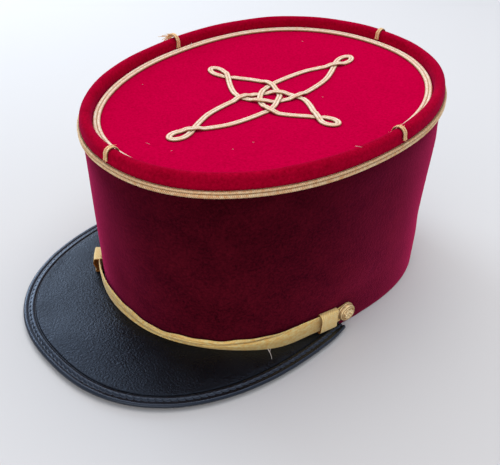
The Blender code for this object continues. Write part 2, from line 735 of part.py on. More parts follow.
make_crown_side()
make_rim_roll()
make_top_disc()
make_outer_braid()
make_inner_braid()
make_rim_tab("rim_tab_back", 0.0)
make_rim_tab("rim_tab_right", 1 - SIDE_SHARE)
make_rim_tab("rim_tab_front", 0.5)
make_rim_tab("rim_tab_left", SIDE_SHARE)
make_knot()
make_peak()
make_peak_binding()
make_chin_strap()
make_keeper("strap_keeper_right", -1, KEEPER_FROM_BUTTON_RIGHT, KEEPER_SLACK_RIGHT)
make_keeper("strap_keeper_left", 1, KEEPER_FROM_BUTTON_LEFT, KEEPER_SLACK_LEFT)
make_button("side_button_right", -1)
make_button("side_button_left", 1)
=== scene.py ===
# %% [markdown]
# # A kepi cap
# The cap stands on its crown, with the peak towards -Y and the wearer's left at +X. The frame holds its
# solids. This lesson dresses them: each piece of cloth, braid, leather and metal is worked out as a grid
# of points, so that its weave and folds are real geometry, and then gets its finish from nodes.

import math

import bpy
import numpy as np
from mathutils import Matrix, Vector


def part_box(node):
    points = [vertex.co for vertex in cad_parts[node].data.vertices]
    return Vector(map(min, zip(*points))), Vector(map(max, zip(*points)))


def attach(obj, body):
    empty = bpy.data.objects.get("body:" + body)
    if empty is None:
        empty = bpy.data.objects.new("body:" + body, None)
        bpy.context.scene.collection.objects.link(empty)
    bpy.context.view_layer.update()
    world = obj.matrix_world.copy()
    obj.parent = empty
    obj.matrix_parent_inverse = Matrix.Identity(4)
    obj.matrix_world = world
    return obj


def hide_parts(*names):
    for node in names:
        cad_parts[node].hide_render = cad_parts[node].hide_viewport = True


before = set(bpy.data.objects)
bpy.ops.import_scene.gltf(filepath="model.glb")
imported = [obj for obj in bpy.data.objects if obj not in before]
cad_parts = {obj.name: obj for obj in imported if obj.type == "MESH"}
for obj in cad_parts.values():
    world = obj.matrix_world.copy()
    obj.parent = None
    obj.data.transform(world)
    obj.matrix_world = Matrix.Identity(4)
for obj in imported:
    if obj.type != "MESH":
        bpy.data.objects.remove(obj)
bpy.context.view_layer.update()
MM = 0.001
print("the frame's pieces:", len(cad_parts))

# %% [markdown]
# ## Sizes
# The crown is a loft between two egg-shaped ovals, one at the floor and one at the rim. Both are kept as
# half-lengths from the crown's own middle, which lies behind the middle of the whole cap, because the
# peak reaches so far forward. The frame says where: its peak's tip is a known way in front of it.

# %% The crown's ovals and heights
PEAK_REACH = 153.2 * MM
CROWN_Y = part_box("peak_binding")[0].y + PEAK_REACH

BASE_OVAL = dict(front=102.0 * MM, back=102.0 * MM, half_width=82.2 * MM,
                 fullness=2.36, egg=0.09, centre_y=0.0)
TOP_CENTRE_Y = 0.6 * MM
TOP_OVAL = dict(front=110.0 * MM, back=101.3 * MM, half_width=83.9 * MM,
                fullness=2.13, egg=0.02, centre_y=TOP_CENTRE_Y)
RIM_FRONT_HEIGHT = 109.1 * MM
RIM_BACK_HEIGHT = 122.9 * MM
GAP = 0.3 * MM

SIDE_WALL = 2.0 * MM
SEAM_DROP = 8.8 * MM
RIM_WIDTH = 5.6 * MM
RIM_WALL = 1.8 * MM
RIM_PADDING = 0.5 * MM
DISC_DROP = 7.0 * MM
DISC_WALL = 2.0 * MM
DISC_SAG = 4.8 * MM
print("the crown's middle is at y =", round(CROWN_Y / MM, 1), "mm")

# %% [markdown]
# ## Placing things on the crown
# Everything is placed by three numbers: the share of the way round the crown, the height, and how far
# out from the cloth's face. `skin` turns them into points, for whole arrays at once.

# %% Ovals and the skin


def oval(front, back, half_width, fullness, egg, centre_y, samples=2880):
    """An egg-shaped superellipse, evenly spaced from the back's middle.

    x = half_width * sign(cos a) * |cos a|^(2/fullness) * (1 + egg * s) and y = half_length * s, where
    s = sign(sin a) * |sin a|^(2/fullness), and half_length is front or back by the sign of s.
    """
    turn = np.linspace(0.5 * math.pi, 2.5 * math.pi, samples + 1)
    across = np.sign(np.cos(turn)) * np.abs(np.cos(turn)) ** (2 / fullness)
    along = np.sign(np.sin(turn)) * np.abs(np.sin(turn)) ** (2 / fullness)
    x = half_width * across * (1 + egg * along)
    y = np.where(along < 0, front, back) * along + centre_y + CROWN_Y
    return evenly(np.stack([x, y], axis=-1), samples + 1)


def distances(points):
    """How far along a path each of its points is: the running sum of its steps."""
    steps = np.linalg.norm(np.diff(points, axis=0), axis=-1)
    return np.concatenate([[0.0], np.cumsum(steps)])


def length_of(points):
    """The length of a path: the sum of its steps."""
    return float(np.linalg.norm(np.diff(points, axis=0), axis=-1).sum())


def at_distance(points, travelled, wanted):
    """Points of a path at the wanted distances along it."""
    return np.stack([np.interp(wanted, travelled, column) for column in points.T], axis=-1)


def evenly(points, count):
    """The same path with its points evenly spaced along it."""
    travelled = distances(points)
    return at_distance(points, travelled, np.linspace(0.0, travelled[-1], count))


def unit(vectors):
    """The same directions, with length 1."""
    return vectors / np.linalg.norm(vectors, axis=-1, keepdims=True)


def right_of(way):
    """The direction a quarter turn to the right of a way in plan, with length 1."""
    way = unit(way)
    return np.stack([way[..., 1], -way[..., 0]], axis=-1)


def at_height(flat, height):
    """Points in plan, raised to a height, which may be a number or an array."""
    return np.concatenate([flat, np.broadcast_to(height, flat.shape[:-1])[..., None]], axis=-1)


BASE = oval(**BASE_OVAL)
TOP = oval(**TOP_OVAL)
DISC_MIDDLE = np.array([0.0, CROWN_Y + TOP_CENTRE_Y])
PERIMETER = length_of(BASE)
SKIN_STEP = 1.0 / 720


def at_share(outline, share):
    """A point of an outline at a share of the way round: 0 is the back, 0.5 the front."""
    return at_distance(outline, np.linspace(0.0, 1.0, len(outline)), np.asarray(share, float) % 1.0)


def rim_height(y):
    """The rim's height: front + (back - front) * way, where way runs from 0 to 1 front to back."""
    way = (y - CROWN_Y - TOP_CENTRE_Y + TOP_OVAL["front"]) / (TOP_OVAL["front"] + TOP_OVAL["back"])
    return RIM_FRONT_HEIGHT + (RIM_BACK_HEIGHT - RIM_FRONT_HEIGHT) * way


def rim_at(share):
    """The rim's height at a share of the way round."""
    return rim_height(at_share(TOP, share)[..., 1])


def wall(share, height):
    """A point of the crown's face: the base oval blended to the rim oval by height."""
    base = at_share(BASE, share)
    top = at_share(TOP, share)
    rise = (np.asarray(height) / rim_height(top[..., 1]))[..., None]
    return base + (top - base) * rise


def skin(share, height, out):
    """A point at a share, a height, and a level distance out from the crown's face."""
    share, height, out = np.broadcast_arrays(np.asarray(share, float), height, out)
    outward = right_of(wall(share + SKIN_STEP, height) - wall(share - SKIN_STEP, height))
    return at_height(wall(share, height) + outward * out[..., None], height)


def base_share(y):
    """The share at which the base's left front quarter has this y, measured from the crown's middle."""
    quarter = np.linspace(0.5, 0.75, 1440)
    return float(np.interp(y + CROWN_Y, at_share(BASE, quarter)[:, 1], quarter))


def smooth(x):
    """0 below 0, 1 above 1, and an S-curve between."""
    x = np.clip(x, 0.0, 1.0)
    return x * x * (3 - 2 * x)


print("the crown is", round(PERIMETER / MM), "mm round its outside")

# %% [markdown]
# ## From grids to meshes
# A piece is one or more grids of points. Each grid becomes quads, its rows or columns may close on
# themselves, and open ends get a cap. The signed volume says whether the faces point outwards.

# %% Meshes from grids


def grid_faces(rows, columns, close_rows, close_columns):
    """Corner numbers of each cell's quad, and the cell corners' rows and columns for the UVs."""
    number = np.arange(rows * columns).reshape(rows, columns)
    row, column = np.meshgrid(np.arange(rows + close_rows), np.arange(columns + close_columns),
                              indexing="ij")
    wrapped = number[row % rows, column % columns]
    corners = [(0, 0), (1, 0), (1, 1), (0, 1)]
    high, wide = wrapped.shape
    quads = np.stack([wrapped[a:high - 1 + a, b:wide - 1 + b] for a, b in corners], axis=-1)
    place = np.stack([np.stack([row[a:high - 1 + a, b:wide - 1 + b],
                                column[a:high - 1 + a, b:wide - 1 + b]], axis=-1)
                      for a, b in corners], axis=-2)
    return quads.reshape(-1, 4), place.reshape(-1, 4, 2)


def volume(points, quads):
    """Six times the signed volume inside the quads, from two triangles each."""
    a, b, c, d = (points[quads[:, k]] for k in range(4))
    return np.einsum("ij,ij->", a, np.cross(b, c)) + np.einsum("ij,ij->", a, np.cross(c, d))


def ring_grid(points, **more):
    """A grid that closes on itself along its rows and along its columns."""
    return dict(points=points, close_rows=True, close_columns=True, **more)


def tube_grid(points, **more):
    """A grid whose columns close on themselves, with a cap on each open end."""
    return dict(points=points, close_columns=True, caps=True, **more)


def add_object(name, data):
    """A new object at the scene's origin."""
    made = bpy.data.objects.new(name, data)
    bpy.context.scene.collection.objects.link(made)
    return made


def piece(name, grids, finishes, replaced):
    """One object from grids, in its finishes, riding on the cap's body and standing for its nodes.

    A grid is a dict of points (rows, columns, 3), close_rows, close_columns, caps, size (the real
    lengths along rows and columns, which scale the UVs), groove (how deep in a groove each point
    lies, from 0 to 1, where the finishes paint shade) and under (which columns take the second finish).
    """
    points, quads, uvs, tones, caps, grooves = [], [], [], [], [], []
    start = 0
    for grid in grids:
        rows, columns = grid["points"].shape[:2]
        close_rows, close_columns = grid.get("close_rows", False), grid.get("close_columns", False)
        flat = grid["points"].reshape(-1, 3)
        faces, place = grid_faces(rows, columns, close_rows, close_columns)
        inside_out = volume(flat - flat.mean(axis=0), faces) < 0
        if inside_out:
            faces = faces[:, ::-1]
            place = place[:, ::-1]
        cells = np.array([rows - (not close_rows), columns - (not close_columns)])
        uvs.append((place / cells * grid.get("size", (1.0, 1.0))).reshape(-1, 2))
        under = np.asarray(grid.get("under", np.zeros(columns)), int)
        tones.append(under[place[..., 1].min(axis=1) % columns])
        quads.append(faces + start)
        if grid.get("caps", False):
            first = np.arange(columns)
            last = first + (rows - 1) * columns
            ends = [first, last[::-1]] if not inside_out else [first[::-1], last]
            caps += [end + start for end in ends]
        grooves.append(np.broadcast_to(grid.get("groove", 0.0), (rows, columns)).ravel())
        points.append(flat)
        start += len(flat)
    points = np.concatenate(points)
    loops = np.concatenate([np.concatenate(quads).ravel(), *caps])
    sizes = np.concatenate([np.full(sum(map(len, quads)), 4), [len(cap) for cap in caps]]).astype(int)
    uvs = np.concatenate([*uvs, np.zeros((sum(map(len, caps)), 2))])
    tones = np.concatenate([*tones, np.zeros(len(caps), int)])
    mesh = bpy.data.meshes.new(name)
    mesh.vertices.add(len(points))
    mesh.vertices.foreach_set("co", points.ravel())
    mesh.loops.add(len(loops))
    mesh.loops.foreach_set("vertex_index", loops)
    mesh.polygons.add(len(sizes))
    mesh.polygons.foreach_set("loop_start", np.concatenate([[0], np.cumsum(sizes)[:-1]]))
    mesh.polygons.foreach_set("material_index", tones)
    mesh.update(calc_edges=True)
    mesh.uv_layers.new(name="UVMap").data.foreach_set("uv", uvs.ravel())
    if any("groove" in grid for grid in grids):
        mark = mesh.attributes.new("groove", "FLOAT", "POINT")
        mark.data.foreach_set("value", np.concatenate(grooves))
    mesh.shade_smooth()
    for finish in finishes:
        mesh.materials.append(finish)
    made = add_object(name, mesh)
    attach(made, "root")
    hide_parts(*replaced)
    print(f"{name}: {int((sizes - 2).sum())} triangles")


# %% [markdown]
# ## Camera, floor and light
# The camera was worked out from the photograph's outlines: a normal lens, close by, looking down at the
# cap's left front quarter. The light is soft daylight from above, a low cool light from the picture's
# left, and a little warm light from in front.

# %% Camera
AZIMUTH, ELEVATION, ROLL = (math.radians(angle) for angle in (42.74, 35.53, 3.71))
TARGET = np.array([-16.0 * MM, 6.9 * MM + CROWN_Y, 0.0])
DISTANCE = 430.0 * MM
PIXEL_FOCUS = 641.2
PHOTO_WIDTH = 500
SENSOR = 36.0

back = np.array([math.sin(AZIMUTH) * math.cos(ELEVATION), -math.cos(AZIMUTH) * math.cos(ELEVATION),
                 math.sin(ELEVATION)])
level = np.array([math.cos(AZIMUTH), math.sin(AZIMUTH), 0.0])
rising = np.cross(back, level)
right = math.cos(ROLL) * level + math.sin(ROLL) * rising
up = -math.sin(ROLL) * level + math.cos(ROLL) * rising
place = TARGET + DISTANCE * back

camera_data = bpy.data.cameras.new("camera")
camera_data.sensor_width = SENSOR
camera_data.lens = PIXEL_FOCUS / PHOTO_WIDTH * SENSOR
camera_data.clip_start = 0.01
camera = add_object("camera", camera_data)
camera.matrix_world = Matrix([(right[k], up[k], back[k], place[k]) for k in range(3)] + [(0, 0, 0, 1)])
bpy.context.scene.camera = camera
print("lens", round(camera_data.lens, 1), "mm")

# %% Floor and light
FLOOR_SIZE = 6.0
FLOOR_COLOUR = (0.635, 0.61, 0.585, 1.0)
SKY_COLOUR = (0.74, 0.83, 1.0, 1.0)
SKY_STRENGTH = 0.75
LAMPS_LOOK_AT = Vector((0.0, CROWN_Y, 50.0 * MM))
bpy.context.scene.view_settings.view_transform = "Standard"


def lamp(name, size, power, colour, azimuth, elevation, distance):
    """A square soft light that looks at the cap from a direction, in degrees."""
    turn, tilt = math.radians(azimuth), math.radians(elevation)
    way = Vector((math.sin(turn) * math.cos(tilt), -math.cos(turn) * math.cos(tilt), math.sin(tilt)))
    data = bpy.data.lights.new(name, "AREA")
    data.size = size
    data.energy = power
    data.color = colour
    made = add_object(name, data)
    made.location = way * distance + LAMPS_LOOK_AT
    made.rotation_euler = way.to_track_quat("Z", "Y").to_euler()


def plain_floor():
    """A pale square at the height where the cap stands."""
    mesh = bpy.data.meshes.new("floor")
    half = FLOOR_SIZE / 2
    mesh.from_pydata([(-half, -half, 0), (half, -half, 0), (half, half, 0), (-half, half, 0)], [],
                     [(0, 1, 2, 3)])
    finish = bpy.data.materials.new("pale_floor")
    finish.use_nodes = True
    shader = finish.node_tree.nodes["Principled BSDF"]
    shader.inputs["Base Color"].default_value = FLOOR_COLOUR
    shader.inputs["Roughness"].default_value = 0.9
    mesh.materials.append(finish)
    made = add_object("floor", mesh)


world = bpy.data.worlds.new("sky")
world.use_nodes = True
world.node_tree.nodes["Background"].inputs["Color"].default_value = SKY_COLOUR
world.node_tree.nodes["Background"].inputs["Strength"].default_value = SKY_STRENGTH
bpy.context.scene.world = world
plain_floor()
lamp("sky_above", size=1.4, power=12.5, colour=(1.0, 0.97, 0.93), azimuth=212, elevation=72,
     distance=1.3)
lamp("low_behind_left", size=0.6, power=6.4, colour=(0.68, 0.83, 1.0), azimuth=266, elevation=26,
     distance=1.2)
lamp("front_fill", size=1.0, power=4.0, colour=(1.0, 0.92, 0.80), azimuth=30, elevation=25, distance=1.3)
print("light is set")

# %% [markdown]
# ## Node helpers
# Effects that several finishes share are node groups: the soft nap of cloth, the run of gold thread and
# the grain of leather. Each puts out a value for colour and a height for bump, at real scale in metres.

# %% Node helpers


def node(tree, kind, inputs=None, **settings):
    """Add a shader node, with its settings and its inputs, which may be values or sockets."""
    made = tree.nodes.new("ShaderNode" + kind)
    for key, value in settings.items():
        setattr(made, key, value)
    for key, value in (inputs or {}).items():
        if isinstance(value, bpy.types.NodeSocket):
            tree.links.new(value, made.inputs[key])
        else:
            made.inputs[key].default_value = value
    return made


def maths(tree, operation, first, second=0.0, third=0.0, clamp=False):
    """One step of arithmetic, as an output socket."""
    made = node(tree, "Math", {0: first, 1: second, 2: third}, operation=operation, use_clamp=clamp)
    return made.outputs[0]


def blend_colours(tree, share, first, second):
    """Two colours mixed by a share, as an output socket. A colour is a triple or a socket."""
    first, second = ((*part, 1.0) if isinstance(part, tuple) else part for part in (first, second))
    return node(tree, "Mix", {0: share, 6: first, 7: second}, data_type="RGBA").outputs[2]


def noise(tree, where, scale, detail, roughness=0.5, distortion=0.0):
    """Cloudy noise from 0 to 1, with scale clouds to a metre, as an output socket."""
    made = node(tree, "TexNoise", {"Vector": where, "Scale": scale, "Detail": detail,
                                   "Roughness": roughness, "Distortion": distortion})
    return made.outputs["Fac"]


def stretch(tree, value, low, high, to_low, to_high):
    """A value moved from the span low to high to the span to_low to to_high, as an output socket."""
    made = node(tree, "MapRange", {"Value": value, "From Min": low, "From Max": high,
                                   "To Min": to_low, "To Max": to_high})
    return made.outputs[0]


def group(name, inputs, outputs):
    """An empty shader node group with named sockets, its input node and its output node."""
    tree = bpy.data.node_groups.new(name, "ShaderNodeTree")
    for label, kind in inputs:
        tree.interface.new_socket(label, in_out="INPUT", socket_type="NodeSocket" + kind)
    for label in outputs:
        tree.interface.new_socket(label, in_out="OUTPUT", socket_type="NodeSocketFloat")
    return tree, tree.nodes.new("NodeGroupInput"), tree.nodes.new("NodeGroupOutput")


def finish(name, roughness, **fixed):
    """A new material: its tree, its Principled shader, and constants set on the shader's sockets."""
    made = bpy.data.materials.new(name)
    made.use_nodes = True
    shader = made.node_tree.nodes["Principled BSDF"]
    shader.inputs["Roughness"].default_value = roughness
    for key, value in fixed.items():
        shader.inputs[key.replace("_", " ")].default_value = value
    return made, made.node_tree, shader


def bump(tree, shader, height, distance):
    """Drive the shader's normal from a height in metres times distance."""
    made = node(tree, "Bump", {"Height": height, "Distance": distance})
    tree.links.new(made.outputs[0], shader.inputs["Normal"])


# %% Shared effects: cloth nap, gold thread, leather grain


def nap_group():
    """Cloth nap: wide patches where the pile lies differently, and fine fibres across them."""
    tree, start, end = group("cloth_nap", [("Vector", "Vector"), ("Patch", "Float"), ("Fibre", "Float"),
                                           ("Wide", "Float"), ("Fine", "Float")], ["Tone", "Height"])
    given = start.outputs
    patch = noise(tree, given["Vector"], given["Patch"], 4.0, 0.62, 0.6)
    fibre = noise(tree, given["Vector"], given["Fibre"], 3.0, 0.7)
    wide = maths(tree, "SUBTRACT", patch, 0.5)
    fine = maths(tree, "SUBTRACT", fibre, 0.5)
    tone = maths(tree, "MULTIPLY_ADD", wide, given["Wide"], 0.5)
    tone = maths(tree, "MULTIPLY_ADD", fine, given["Fine"], tone, clamp=True)
    tree.links.new(tone, end.inputs["Tone"])
    tree.links.new(fibre, end.inputs["Height"])
    return tree


def thread_group():
    """Gold thread: fine slanting filaments across the piece's UVs, with uneven brightness."""
    tree, start, end = group("gold_thread", [("Vector", "Vector"), ("Pitch", "Float"),
                                             ("Slant", "Float"), ("Uneven", "Float")],
                             ["Tone", "Height"])
    given = start.outputs
    slant = node(tree, "CombineXYZ", {"Z": given["Slant"]}).outputs[0]
    turned = node(tree, "Mapping", {"Vector": given["Vector"], "Rotation": slant}).outputs[0]
    lines = node(tree, "TexWave", {"Vector": turned, "Scale": given["Pitch"], "Distortion": 1.2,
                                   "Detail": 2.0, "Detail Scale": 2.0},
                 wave_type="BANDS", bands_direction="X", wave_profile="SIN").outputs["Fac"]
    cloudy = noise(tree, given["Vector"], 420.0, 4.0, 0.7)
    uneven = maths(tree, "SUBTRACT", cloudy, 0.5)
    uneven = maths(tree, "MULTIPLY_ADD", uneven, given["Uneven"], 0.2)
    tone = maths(tree, "MULTIPLY_ADD", lines, 0.6, uneven, clamp=True)
    tree.links.new(tone, end.inputs["Tone"])
    tree.links.new(lines, end.inputs["Height"])
    return tree


def grain_group():
    """Leather grain: small rounded pebbles with finer pores on them, and a slow change for wear."""
    tree, start, end = group("leather_grain", [("Vector", "Vector"), ("Pebbles", "Float")],
                             ["Height", "Wear"])
    where = start.outputs["Vector"]
    pebbles = noise(tree, where, start.outputs["Pebbles"], 1.5)
    pores = noise(tree, where, 1900.0, 3.0, 0.6)
    tree.links.new(maths(tree, "MULTIPLY_ADD", pores, 0.45, pebbles), end.inputs["Height"])
    tree.links.new(noise(tree, where, 60.0, 3.0), end.inputs["Wear"])
    return tree


NAP = nap_group()
THREAD = thread_group()
GRAIN = grain_group()
print("node groups:", NAP.name, THREAD.name, GRAIN.name)

# %% [markdown]
# ## Finishes
# Velvet is dark where one looks into its pile and glows at its edges, which the shader's sheen gives.
# The top's wool is a matt, very red cloth. The braid is worn gilt thread, so it is only partly metal, and
# each groove of its plaiting is painted darker as shade: the mesh carries that as the mark "groove".

# %% Cloth finishes


def cloth(name, dark, light, patch, fibre, wide, fine, relief, roughness=0.95, specular=0.0,
          height_shaded=False, **fixed):
    """Napped cloth: two tones of one dye, mixed by the nap, with a fine fibre bump.

    Patch and fibre are counts to a metre, wide and fine say how much each changes the tone. Height-shaded
    cloth is painted darker towards its seam, as shade under the rim, and lighter towards its hem, as
    light near the floor.
    """
    made, tree, shader = finish(name, roughness, Specular_IOR_Level=specular, **fixed)
    where = node(tree, "TexCoord").outputs["Object"]
    nap = node(tree, "Group", {"Vector": where, "Patch": patch, "Fibre": fibre, "Wide": wide,
                               "Fine": fine}, node_tree=NAP)
    tone = nap.outputs["Tone"]
    # Painted light and shade: the tone is scaled from 1.45 at 10 mm up to 0.55 at 100 mm.
    if height_shaded:
        height = node(tree, "SeparateXYZ", {"Vector": where}).outputs["Z"]
        height_shade = stretch(tree, height, 0.01, 0.10, 1.45, 0.55)
        tone = maths(tree, "MULTIPLY", tone, height_shade, clamp=True)
    tree.links.new(blend_colours(tree, tone, dark, light), shader.inputs["Base Color"])
    bump(tree, shader, nap.outputs["Height"], relief)
    return made


# The velvet is painted darker near its seam and lighter near its hem, as shade and light.
VELVET = cloth("velvet", dark=(0.012, 0.0005, 0.0012), light=(0.084, 0.0035, 0.0078), patch=60.0,
               fibre=750.0, wide=1.1, fine=1.9, relief=0.25 * MM, height_shaded=True, Sheen_Weight=0.63,
               Sheen_Roughness=0.42, Sheen_Tint=(1.0, 0.055, 0.22, 1.0))
TOP_CLOTH = cloth("top_cloth", dark=(0.33, 0.0, 0.020), light=(0.57, 0.0, 0.045), patch=40.0,
                  fibre=750.0, wide=0.3, fine=1.5, relief=0.15 * MM, Sheen_Weight=0.05,
                  Sheen_Roughness=0.5, Sheen_Tint=(1.0, 0.0, 0.30, 1.0))
RIM_CLOTH = cloth("rim_cloth", dark=(0.225, 0.0, 0.009), light=(0.425, 0.001, 0.023), patch=60.0,
                  fibre=750.0, wide=0.8, fine=1.9, relief=0.15 * MM, Sheen_Weight=0.13,
                  Sheen_Roughness=0.40, Sheen_Tint=(1.0, 0.10, 0.45, 1.0))
STIFFENER = cloth("stiffener", dark=(0.012, 0.010, 0.010), light=(0.030, 0.026, 0.025), patch=90.0,
                  fibre=1400.0, wide=1.0, fine=0.5, relief=0.2 * MM, roughness=0.9, specular=0.2)
LINT = cloth("lint", dark=(0.42, 0.36, 0.32), light=(0.72, 0.66, 0.58), patch=900.0, fibre=4000.0,
             wide=1.0, fine=0.5, relief=0.02 * MM, roughness=0.9, specular=0.5)
print("cloths:", VELVET.name, TOP_CLOTH.name, RIM_CLOTH.name, STIFFENER.name, LINT.name)

# %% Gold, leather and metal finishes


def gold(name, deep, mid, bright, pitch=460.0, slant=0.6, roughness=0.5, metal=0.1, glow=0.0,
         uneven=3.0):
    """Gilt thread: brighter and darker filaments, with painted shade in the grooves of the plaiting.

    Pitch is the filaments' count, slant their angle in radians, glow the sheen of their fibres, and deep
    the colour of the painted shade.
    """
    made, tree, shader = finish(name, roughness, Metallic=metal, Specular_IOR_Level=0.4,
                                Specular_Tint=(1.0, 0.80, 0.50, 1.0), Sheen_Weight=glow,
                                Sheen_Roughness=0.5, Sheen_Tint=(1.0, 0.76, 0.45, 1.0))
    where = node(tree, "UVMap").outputs["UV"]
    thread = node(tree, "Group", {"Vector": where, "Pitch": pitch, "Slant": slant, "Uneven": uneven},
                  node_tree=THREAD)
    groove = node(tree, "Attribute", attribute_name="groove").outputs["Fac"]
    lit = blend_colours(tree, thread.outputs["Tone"], mid, bright)
    # Painted shade: the groove mark blends the thread's colour towards the deep colour.
    tree.links.new(blend_colours(tree, groove, lit, deep), shader.inputs["Base Color"])
    bump(tree, shader, thread.outputs["Height"], 0.05 * MM)
    return made


def leather(name, tone, pebbles, relief, roughness, coat, specular):
    """Black leather: a fine grain with a bluish gloss, and a polish that changes slowly over it."""
    made, tree, shader = finish(name, roughness, Coat_Weight=coat, Coat_Roughness=0.25,
                                Specular_IOR_Level=specular, Specular_Tint=(0.52, 0.68, 1.0, 1.0))
    where = node(tree, "TexCoord").outputs["Object"]
    grain = node(tree, "Group", {"Vector": where, "Pebbles": pebbles}, node_tree=GRAIN)
    wear = grain.outputs["Wear"]
    polish = stretch(tree, wear, 0.35, 0.7, roughness - 0.06, roughness + 0.08)
    tree.links.new(polish, shader.inputs["Roughness"])
    lighter = tuple(1.9 * part for part in tone)
    tree.links.new(blend_colours(tree, wear, tone, lighter), shader.inputs["Base Color"])
    bump(tree, shader, grain.outputs["Height"], relief)
    return made


def gilt(name):
    """A gilt button: polished high places, with painted shade darkening the relief's hollows."""
    made, tree, shader = finish(name, 0.25, Metallic=0.7, Specular_Tint=(1.0, 0.8, 0.5, 1.0))
    groove = node(tree, "Attribute", attribute_name="groove").outputs["Fac"]
    cloudy = noise(tree, node(tree, "TexCoord").outputs["Object"], 500.0, 3.0)
    shade = maths(tree, "MULTIPLY_ADD", cloudy, 0.12, groove, clamp=True)
    colour = blend_colours(tree, shade, (1.0, 0.78, 0.43), (0.30, 0.125, 0.025))
    tree.links.new(colour, shader.inputs["Base Color"])
    tree.links.new(maths(tree, "MULTIPLY_ADD", shade, 0.25, 0.2), shader.inputs["Roughness"])
    bump(tree, shader, cloudy, 0.03 * MM)
    return made


BRAID = gold("gold_braid", deep=(0.14, 0.05, 0.015), mid=(0.72, 0.31, 0.10), bright=(1.0, 0.80, 0.50),
             roughness=0.36, metal=0.4, glow=0.8)
CREAM_BRAID = gold("cream_braid", deep=(0.36, 0.21, 0.08), mid=(0.86, 0.50, 0.33),
                   bright=(1.0, 0.91, 0.76), glow=0.25)
TAB_BRAID = gold("tab_braid", deep=(0.14, 0.05, 0.012), mid=(0.80, 0.38, 0.13),
                 bright=(1.0, 0.76, 0.44), metal=0.2, glow=0.6)
LACE = gold("gold_lace", deep=(0.14, 0.055, 0.008), mid=(0.92, 0.45, 0.06), bright=(1.0, 0.86, 0.40),
            pitch=380.0, slant=0.9, roughness=0.38, metal=0.3, glow=1.0, uneven=2.4)
KEEPER_LACE = gold("keeper_lace", deep=(0.35, 0.19, 0.05), mid=(0.98, 0.61, 0.17),
                   bright=(1.0, 0.82, 0.40), pitch=380.0, slant=0.9, roughness=0.45, glow=0.8,
                   uneven=2.4)
LACE_BACK = gold("lace_back", deep=(0.10, 0.03, 0.004), mid=(0.28, 0.09, 0.012),
                 bright=(0.40, 0.15, 0.025), pitch=1300.0, slant=0.9, roughness=0.6, uneven=2.2)
PEAK_LEATHER = leather("peak_leather", (0.0036, 0.0036, 0.0040), pebbles=900.0, relief=0.28 * MM,
                       roughness=0.31, coat=0.0, specular=0.27)
BINDING_LEATHER = leather("binding_leather", (0.0042, 0.0044, 0.0052), pebbles=900.0,
                          relief=0.10 * MM, roughness=0.25, coat=0.2, specular=0.48)
GILT = gilt("gilt")
print("finishes:", BRAID.name, LACE.name, PEAK_LEATHER.name, BINDING_LEATHER.name, GILT.name)

# %% [markdown]
# ## Loose threads
# Cut braid frays, and dark leather and cloth catch lint. Both are thin tapering tubes, bent a little.

# %% Threads
RANDOM = np.random.default_rng(7)
THREAD_SIDES = 5


def thread(start, way, length, bend, radius=0.11 * MM, **more):
    """A thin tapering tube along start + way * length * t + bend * length * t^2."""
    t = np.linspace(0.0, 1.0, 7)[:, None]
    spine = np.asarray(start) + np.asarray(way) * length * t + np.asarray(bend) * length * t ** 2
    turn = np.linspace(0.0, 2 * math.pi, THREAD_SIDES, endpoint=False)[:, None]
    side = unit(np.cross(way, (0.3, 0.5, 0.8)))
    lift = np.cross(way, side)
    ring = side * np.cos(turn) + lift * np.sin(turn)
    size = radius * (1 - 0.6 * t)
    return tube_grid(spine[:, None, :] + ring * size[..., None], groove=0.1, size=(length, 4 * radius),
                     **more)


def lint(places, surface):
    """Bits of lint on a surface, which is a function that gives its height over points in plan.

    Each place is x, y from the crown's middle, height over the surface, compass way in degrees,
    length, radius and slope.
    """
    bits = []
    for x, y, up, turn, length, radius, slope in places:
        flat = np.array([x * MM, y * MM + CROWN_Y])
        start = np.append(flat, surface(flat[None])[0] + up * MM)
        way = np.array([math.sin(math.radians(turn)), math.cos(math.radians(turn)), slope])
        bits.append(thread(start, way, length * MM, RANDOM.normal(0.0, 0.15, 3) * (1, 1, 0),
                           radius * MM, under=np.ones(THREAD_SIDES)))
    return bits


print("threads are ready")

# %% [markdown]
# ## The crown's velvet side
# One closed wall: up the outside, over its top edge under the braid, down the inside and round the hem.
# Real velvet over a stiffener is never quite true, so it swells and sinks by a few tenths of a millimetre
# between the strap and the seam.

# %% Crown side
AROUND = 480
ROUND = np.arange(AROUND) / AROUND
HEM = 0.8 * MM


def side_waves(share, height):
    """Soft unevenness of the side: a few sine waves round the crown that fade at seam and strap."""
    waves = (0.45 * np.sin(2 * math.pi * (3 * share + 0.12)) * np.sin(35 * height + 0.8)
             + 0.30 * np.sin(2 * math.pi * (5 * share + 0.4) + 30 * height)
             + 0.18 * np.sin(2 * math.pi * (11 * share) + 55 * height))
    fade = smooth((height - 20 * MM) / (18 * MM)) * smooth((98 * MM - height) / (12 * MM))
    return waves * MM * fade


def crown_side():
    """Rows run round the crown. Columns run up the face, down the inside and round the hem."""
    share = ROUND[:, None]
    top = rim_at(share) - SEAM_DROP - GAP / 2
    height = HEM + (top - HEM) * np.linspace(0.0, 1.0, 44)
    turn = np.linspace(0.0, math.pi, 9)[1:-1]
    half = SIDE_WALL / 2
    bands = [skin(share, height, side_waves(share, height)),
             skin(share, top, -SIDE_WALL * np.array([0.25, 0.75])),
             skin(share, height[:, ::-3], -SIDE_WALL),
             skin(share, HEM * (1 - np.sin(turn)), -half - half * np.cos(turn))]
    under = np.repeat((0, 1, 1, 0), [band.shape[1] for band in bands])
    grid = ring_grid(np.concatenate(bands, axis=1), under=under)
    piece("velvet_side", [grid], [VELVET, STIFFENER], ["crown_side"])


crown_side()

# %% [markdown]
# ## The padded rim
# Crimson cloth is rolled over the rim. Outside it bulges a little between the braid and the crest, and
# inside it drops to the sunken top. Its section is a profile of (out, drop), carried round the crown.

# %% Rim roll


